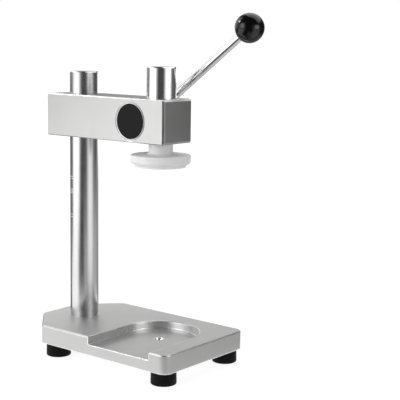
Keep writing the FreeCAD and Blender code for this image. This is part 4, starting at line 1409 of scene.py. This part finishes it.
@dataclass(frozen=True)
class LightTent:
    """A dim tent with bright panels round the machine, seen only by what mirrors it.

    Elevations are measured from its middle height. It is widest at its wall. The steps are
    rings of points on its skirt, and as many on its dome. Its dimness is the radiance between
    the panels.
    """

    middle_height: float = 0.17
    foot_height: float = 0.001
    skirt_radius: float = 0.21
    wall_height: float = 0.121
    wall_radius: float = 0.75
    crown: float = 1.0
    steps: int = 33
    dimness: float = 0.055
    # Bearing, half width, elevation, half height, softness and brightness
    panels: tuple[Panel, ...] = (
        Panel(-114.0, 30.0, 22.0, 20.0, 30.0, 1.3),
        Panel(-122.0, 30.0, -5.5, 10.5, 14.0, 1.45),
        Panel(-139.0, 30.0, -46.0, 30.0, 16.0, 1.3),
        Panel(-106.0, 16.0, 30.0, 14.0, 10.0, 2.2),
        Panel(-173.0, 16.0, 50.0, 13.0, 14.0, 1.6),
        Panel(174.0, 30.0, 29.0, 18.0, 6.0, 0.95),
        Panel(-40.0, 18.0, -40.0, 26.0, 16.0, 0.5),
        Panel(3.0, 24.0, -8.0, 34.0, 26.0, 1.15),
        Panel(6.0, 13.0, 20.0, 9.0, 6.0, 2.2),
        Panel(52.0, 26.0, -28.0, 18.0, 12.0, 0.5),
        Panel(50.0, 16.0, 4.0, 10.0, 14.0, 0.05),
        Panel(94.0, 16.0, -26.0, 30.0, 20.0, 0.35),
        Panel(80.0, 58.0, 62.0, 24.0, 12.0, 1.6),
        Panel(124.0, 27.0, 5.0, 8.0, 8.0, 1.6),
        Panel(135.0, 24.0, -10.0, 22.0, 16.0, 0.25),
        Panel(178.0, 20.0, -5.0, 25.0, 12.0, 0.14),
    )

    def surface(self) -> Surface:
        """Turns the tent from its foot to its crown, open at the foot.

        Along the skirt the radius grows with the sine of the share and the height with its
        square. Along the dome the radius falls with the cosine of the turn to nothing at the
        crown, and the height grows with the sine.

        Returns:
            Points and faces.
        """
        share = np.linspace(0.0, 1.0, self.steps)
        skirt = np.stack([
            self.skirt_radius + (self.wall_radius - self.skirt_radius) * np.sin(share * math.pi / 2.0),
            self.foot_height + (self.wall_height - self.foot_height) * share**2,
        ], axis=1)
        turn = np.linspace(0.0, math.pi / 2.0, self.steps)[1:]
        dome = np.stack([
            self.wall_radius * np.cos(turn),
            self.wall_height + (self.crown - self.wall_height) * np.sin(turn),
        ], axis=1)
        dome[-1, 0] = 0.0
        points, faces = turned_solid(np.vstack([[[0.0, self.foot_height]], skirt, dome]), Axis(ORIGIN, UP))
        foot_pole = len(points) - 2
        return points, [face for face in faces if foot_pole not in face]

    def material(self) -> bpy.types.Material:
        """Builds the glow: a dim tent plus each panel's mask times its brightness.

        Returns:
            The material.
        """
        material, sheet = material_sheet("tent_glow")
        from_middle = sheet.vectors("SUBTRACT", sheet.place(), (0.0, 0.0, self.middle_height))
        parts = sheet.parts(sheet.vectors("NORMALIZE", from_middle))
        seen = {
            "seen_bearing": sheet.maths("DEGREES", sheet.maths("ARCTAN2", parts[1], parts[0])),
            "seen_elevation": sheet.maths("DEGREES", sheet.maths("ARCSINE", parts[2])),
        }
        total: object = self.dimness
        for panel in self.panels:
            sizes = asdict(panel)
            brightness = sizes.pop("brightness")
            mask = sheet.effect(panel_effect(), **seen, **sizes)[0]
            total = sheet.maths("MULTIPLY_ADD", mask, brightness, total)
        glow = sheet.node("ShaderNodeEmission", {"Strength": total})
        sheet.node("ShaderNodeOutputMaterial", {"Surface": glow.outputs[0]})
        return material

    def build(self) -> None:
        """Makes the tent and hides it from all but mirror reflections."""
        tent = mesh_object("light_tent", self.surface(), self.material())
        for ray in ("camera", "diffuse", "shadow", "transmission", "volume_scatter"):
            setattr(tent, f"visible_{ray}", False)


def seen_straight(sheet: Sheet, path: Sequence[Socket]) -> Socket:
    """Tells light paths that show a surface itself from those that only light others.

    Args:
        sheet: The material's or world's sheet.
        path: The Light Path node's outputs.

    Returns:
        1 to the eye, in mirrors and through glass, and 0 elsewhere.
    """
    return sheet.most(path["Is Camera Ray"], path["Is Glossy Ray"], path["Is Transmission Ray"])


@dataclass(frozen=True)
class Floor:
    """The plain pale floor, which keeps the machine's shadow, and which mirrors see with two patches of
    painted shade.

    Attributes:
        radius: Its radius.
        near: Where it starts to fade to the plain background.
        far: Where it has faded.
        columns: How many points its rings have.
        shadow_share: How pale the part of it is that the lamps light.
        mottle: How pale the darkest clouds of that part are, where 1 is all of it.
        kept_light: How much of its own light is left out near the machine.
        mirror_gain: How bright mirrors see it, where 1 is white.
        other_grey: How bright it is for the light that it throws on other things.
        card_fade: How wide the fading rims of its patches of painted shade are.
        right_card: Where along X the grey patch of painted shade at the right starts.
        right_shade: How much of the mirrored floor that patch takes away.
        front_card: Where along X and -Y the black patch of painted shade in front starts.
        front_shade: How much of the mirrored floor that patch takes away.
        card_reach: How far off a mirror is, at the least, that sees the front patch.
        reach_fade: Over what distance that patch then comes in.
        rear_part: How dark such a mirror sees the floor behind the front patch, as a part of
            that patch's shade.
    """

    radius: float = 20.0
    near: float = 0.35
    far: float = 0.8
    columns: int = 96
    shadow_share: float = 0.25
    mottle: float = 0.99
    kept_light: float = 0.14
    mirror_gain: float = 1.35
    other_grey: float = 0.8
    # Painted shade in the floor that only mirrors see, which darkens the metal's reflections of it
    card_fade: float = 0.02
    right_card: float = 0.09
    right_shade: float = 0.6
    front_card: tuple[float, float] = (-0.01, 0.06)
    front_shade: float = 0.95
    card_reach: float = 0.2
    reach_fade: float = 0.03
    rear_part: float = 0.7

    def build(self) -> None:
        """Makes the floor: three rings round a fan of triangles, all facing up."""
        profile = np.array([(self.near, 0.0), (self.far, 0.0), (self.radius, 0.0)])
        rings = ring_points(profile, Axis(ORIGIN, UP), self.columns)
        faces = grid_faces(len(profile), self.columns, False)[:, ::-1].tolist()
        faces += fan(len(rings), 0, self.columns, False)
        mesh_object("floor", (np.vstack([rings, [ORIGIN]]), faces), self.material())

    def mirrored(self, sheet: Sheet, place: Socket, path: Sequence[Socket]) -> Socket:
        """Works out how bright mirrors see the floor, with its patches of painted shade.

        Args:
            sheet: The material's sheet.
            place: The floor's coordinates.
            path: The Light Path node's outputs.

        Returns:
            The brightness, where 1 is white.
        """
        across, back, _ = sheet.parts(place)

        def shade_step(distance: Socket, start: float, first: float, last: float) -> Socket:
            """Carries a painted shade from first to last where a patch of it starts."""
            return sheet.ramp(distance, start, start + self.card_fade, first, last)

        # Painted shade: a grey patch at the right, and a black patch in front that only far-off mirrors see
        right = shade_step(across, self.right_card, 0.0, self.right_shade)
        aside = shade_step(across, self.front_card[0], 0.0, self.front_shade)
        front = shade_step(sheet.maths("MULTIPLY", back, -1.0), self.front_card[1], self.rear_part, 1.0)
        far_off = sheet.ramp(path["Ray Length"], self.card_reach, self.card_reach + self.reach_fade, 0.0, 1.0)
        shade = sheet.most(right, sheet.product(aside, front, far_off))
        return sheet.product(sheet.maths("SUBTRACT", 1.0, shade), self.mirror_gain)

    def material(self) -> bpy.types.Material:
        """Builds the floor's look: white to the eye, white in mirrors but for its painted shade, and plain
        pale to other light.

        Returns:
            The material.
        """
        material, sheet = material_sheet("studio_floor")
        place = sheet.place()
        path = sheet.node("ShaderNodeLightPath").outputs
        away = sheet.ramp(sheet.vectors("LENGTH", place), self.near, self.far, 0.0, 1.0)
        palest = self.shadow_share
        pale = sheet.ramp(sheet.noise(place, FLOOR_WAVES, 3.0), 0.3, 0.7, palest * self.mottle, palest)
        lit = sheet.node("ShaderNodeBsdfDiffuse", {"Color": pale})
        own = sheet.maths("MULTIPLY_ADD", away, self.kept_light, 1.0 - self.kept_light)
        mirrored = self.mirrored(sheet, place, path)
        gain = sheet.node("ShaderNodeMix", {0: path["Is Glossy Ray"], 2: 1.0, 3: mirrored}).outputs[0]
        glow = sheet.node("ShaderNodeEmission", {"Strength": sheet.product(own, gain)})
        seen = sheet.node("ShaderNodeAddShader", {0: lit.outputs[0], 1: glow.outputs[0]})
        plain = sheet.node("ShaderNodeBsdfDiffuse", {"Color": grey(self.other_grey)})
        mixed = sheet.mixed_shader(seen_straight(sheet, path), plain, seen)
        under = sheet.node("ShaderNodeNewGeometry").outputs["Backfacing"]
        whole = sheet.mixed_shader(under, mixed, sheet.node("ShaderNodeBsdfTransparent"))
        sheet.node("ShaderNodeOutputMaterial", {"Surface": whole.outputs[0]})
        return material


@dataclass(frozen=True)
class Studio:
    """The lamps, the floor, the tent and the plain background.

    The ambient level is that of the even light from all round. The lamps face the target.
    """

    ambient: float = 0.32
    target: Triple = (0.0, 0.0, 0.17)
    # Name, bearing, elevation, distance, width, height and brightness
    lamps: tuple[SoftLamp, ...] = (
        SoftLamp("left_lamp", -113.4, 12.0, 1.3, 1.2, 1.0, 2.6),
        SoftLamp("right_lamp", -1.4, 5.0, 1.3, 0.9, 0.9, 1.4),
        SoftLamp("top_lamp", 86.0, 58.0, 1.3, 1.1, 1.1, 1.7),
        SoftLamp("glint_lamp", -158.0, 48.0, 0.7, 0.075, 0.1, 27.0, mirrored=True),
    )

    def background(self) -> None:
        """Makes the world white to the eye, in mirrors and through glass, and even elsewhere."""
        world = bpy.data.worlds.new("studio_air")
        bpy.context.scene.world = world
        sheet = clean_sheet(world)
        straight = seen_straight(sheet, sheet.node("ShaderNodeLightPath").outputs)
        lighting = sheet.node("ShaderNodeBackground", {"Color": grey(1.0), "Strength": self.ambient})
        white = sheet.node("ShaderNodeBackground", {"Color": grey(1.0), "Strength": 1.0})
        mixed = sheet.mixed_shader(straight, lighting, white)
        sheet.node("ShaderNodeOutputWorld", {"Surface": mixed.outputs[0]})

    def build(self) -> None:
        """Makes the whole studio."""
        bpy.context.scene.view_settings.view_transform = "Standard"
        self.background()
        Floor().build()
        LightTent().build()
        for lamp in self.lamps:
            lamp.build(Vector(self.target))
        StudioCamera().build()


def main() -> None:
    """Builds the sub-assemblies in order, reports each piece, and sets the studio."""
    logging.basicConfig(level=logging.INFO, format="%(name)s: %(message)s")
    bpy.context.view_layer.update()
    finishes = Finishes()
    for unit in (FootedPlate(), Column(), Arm(), Lever(), PressRam()):
        for line in unit.build(finishes):
            LOG.info("%s: %s", type(unit).__name__, line)
    Studio().build()


if __name__ == "__main__":
    main()
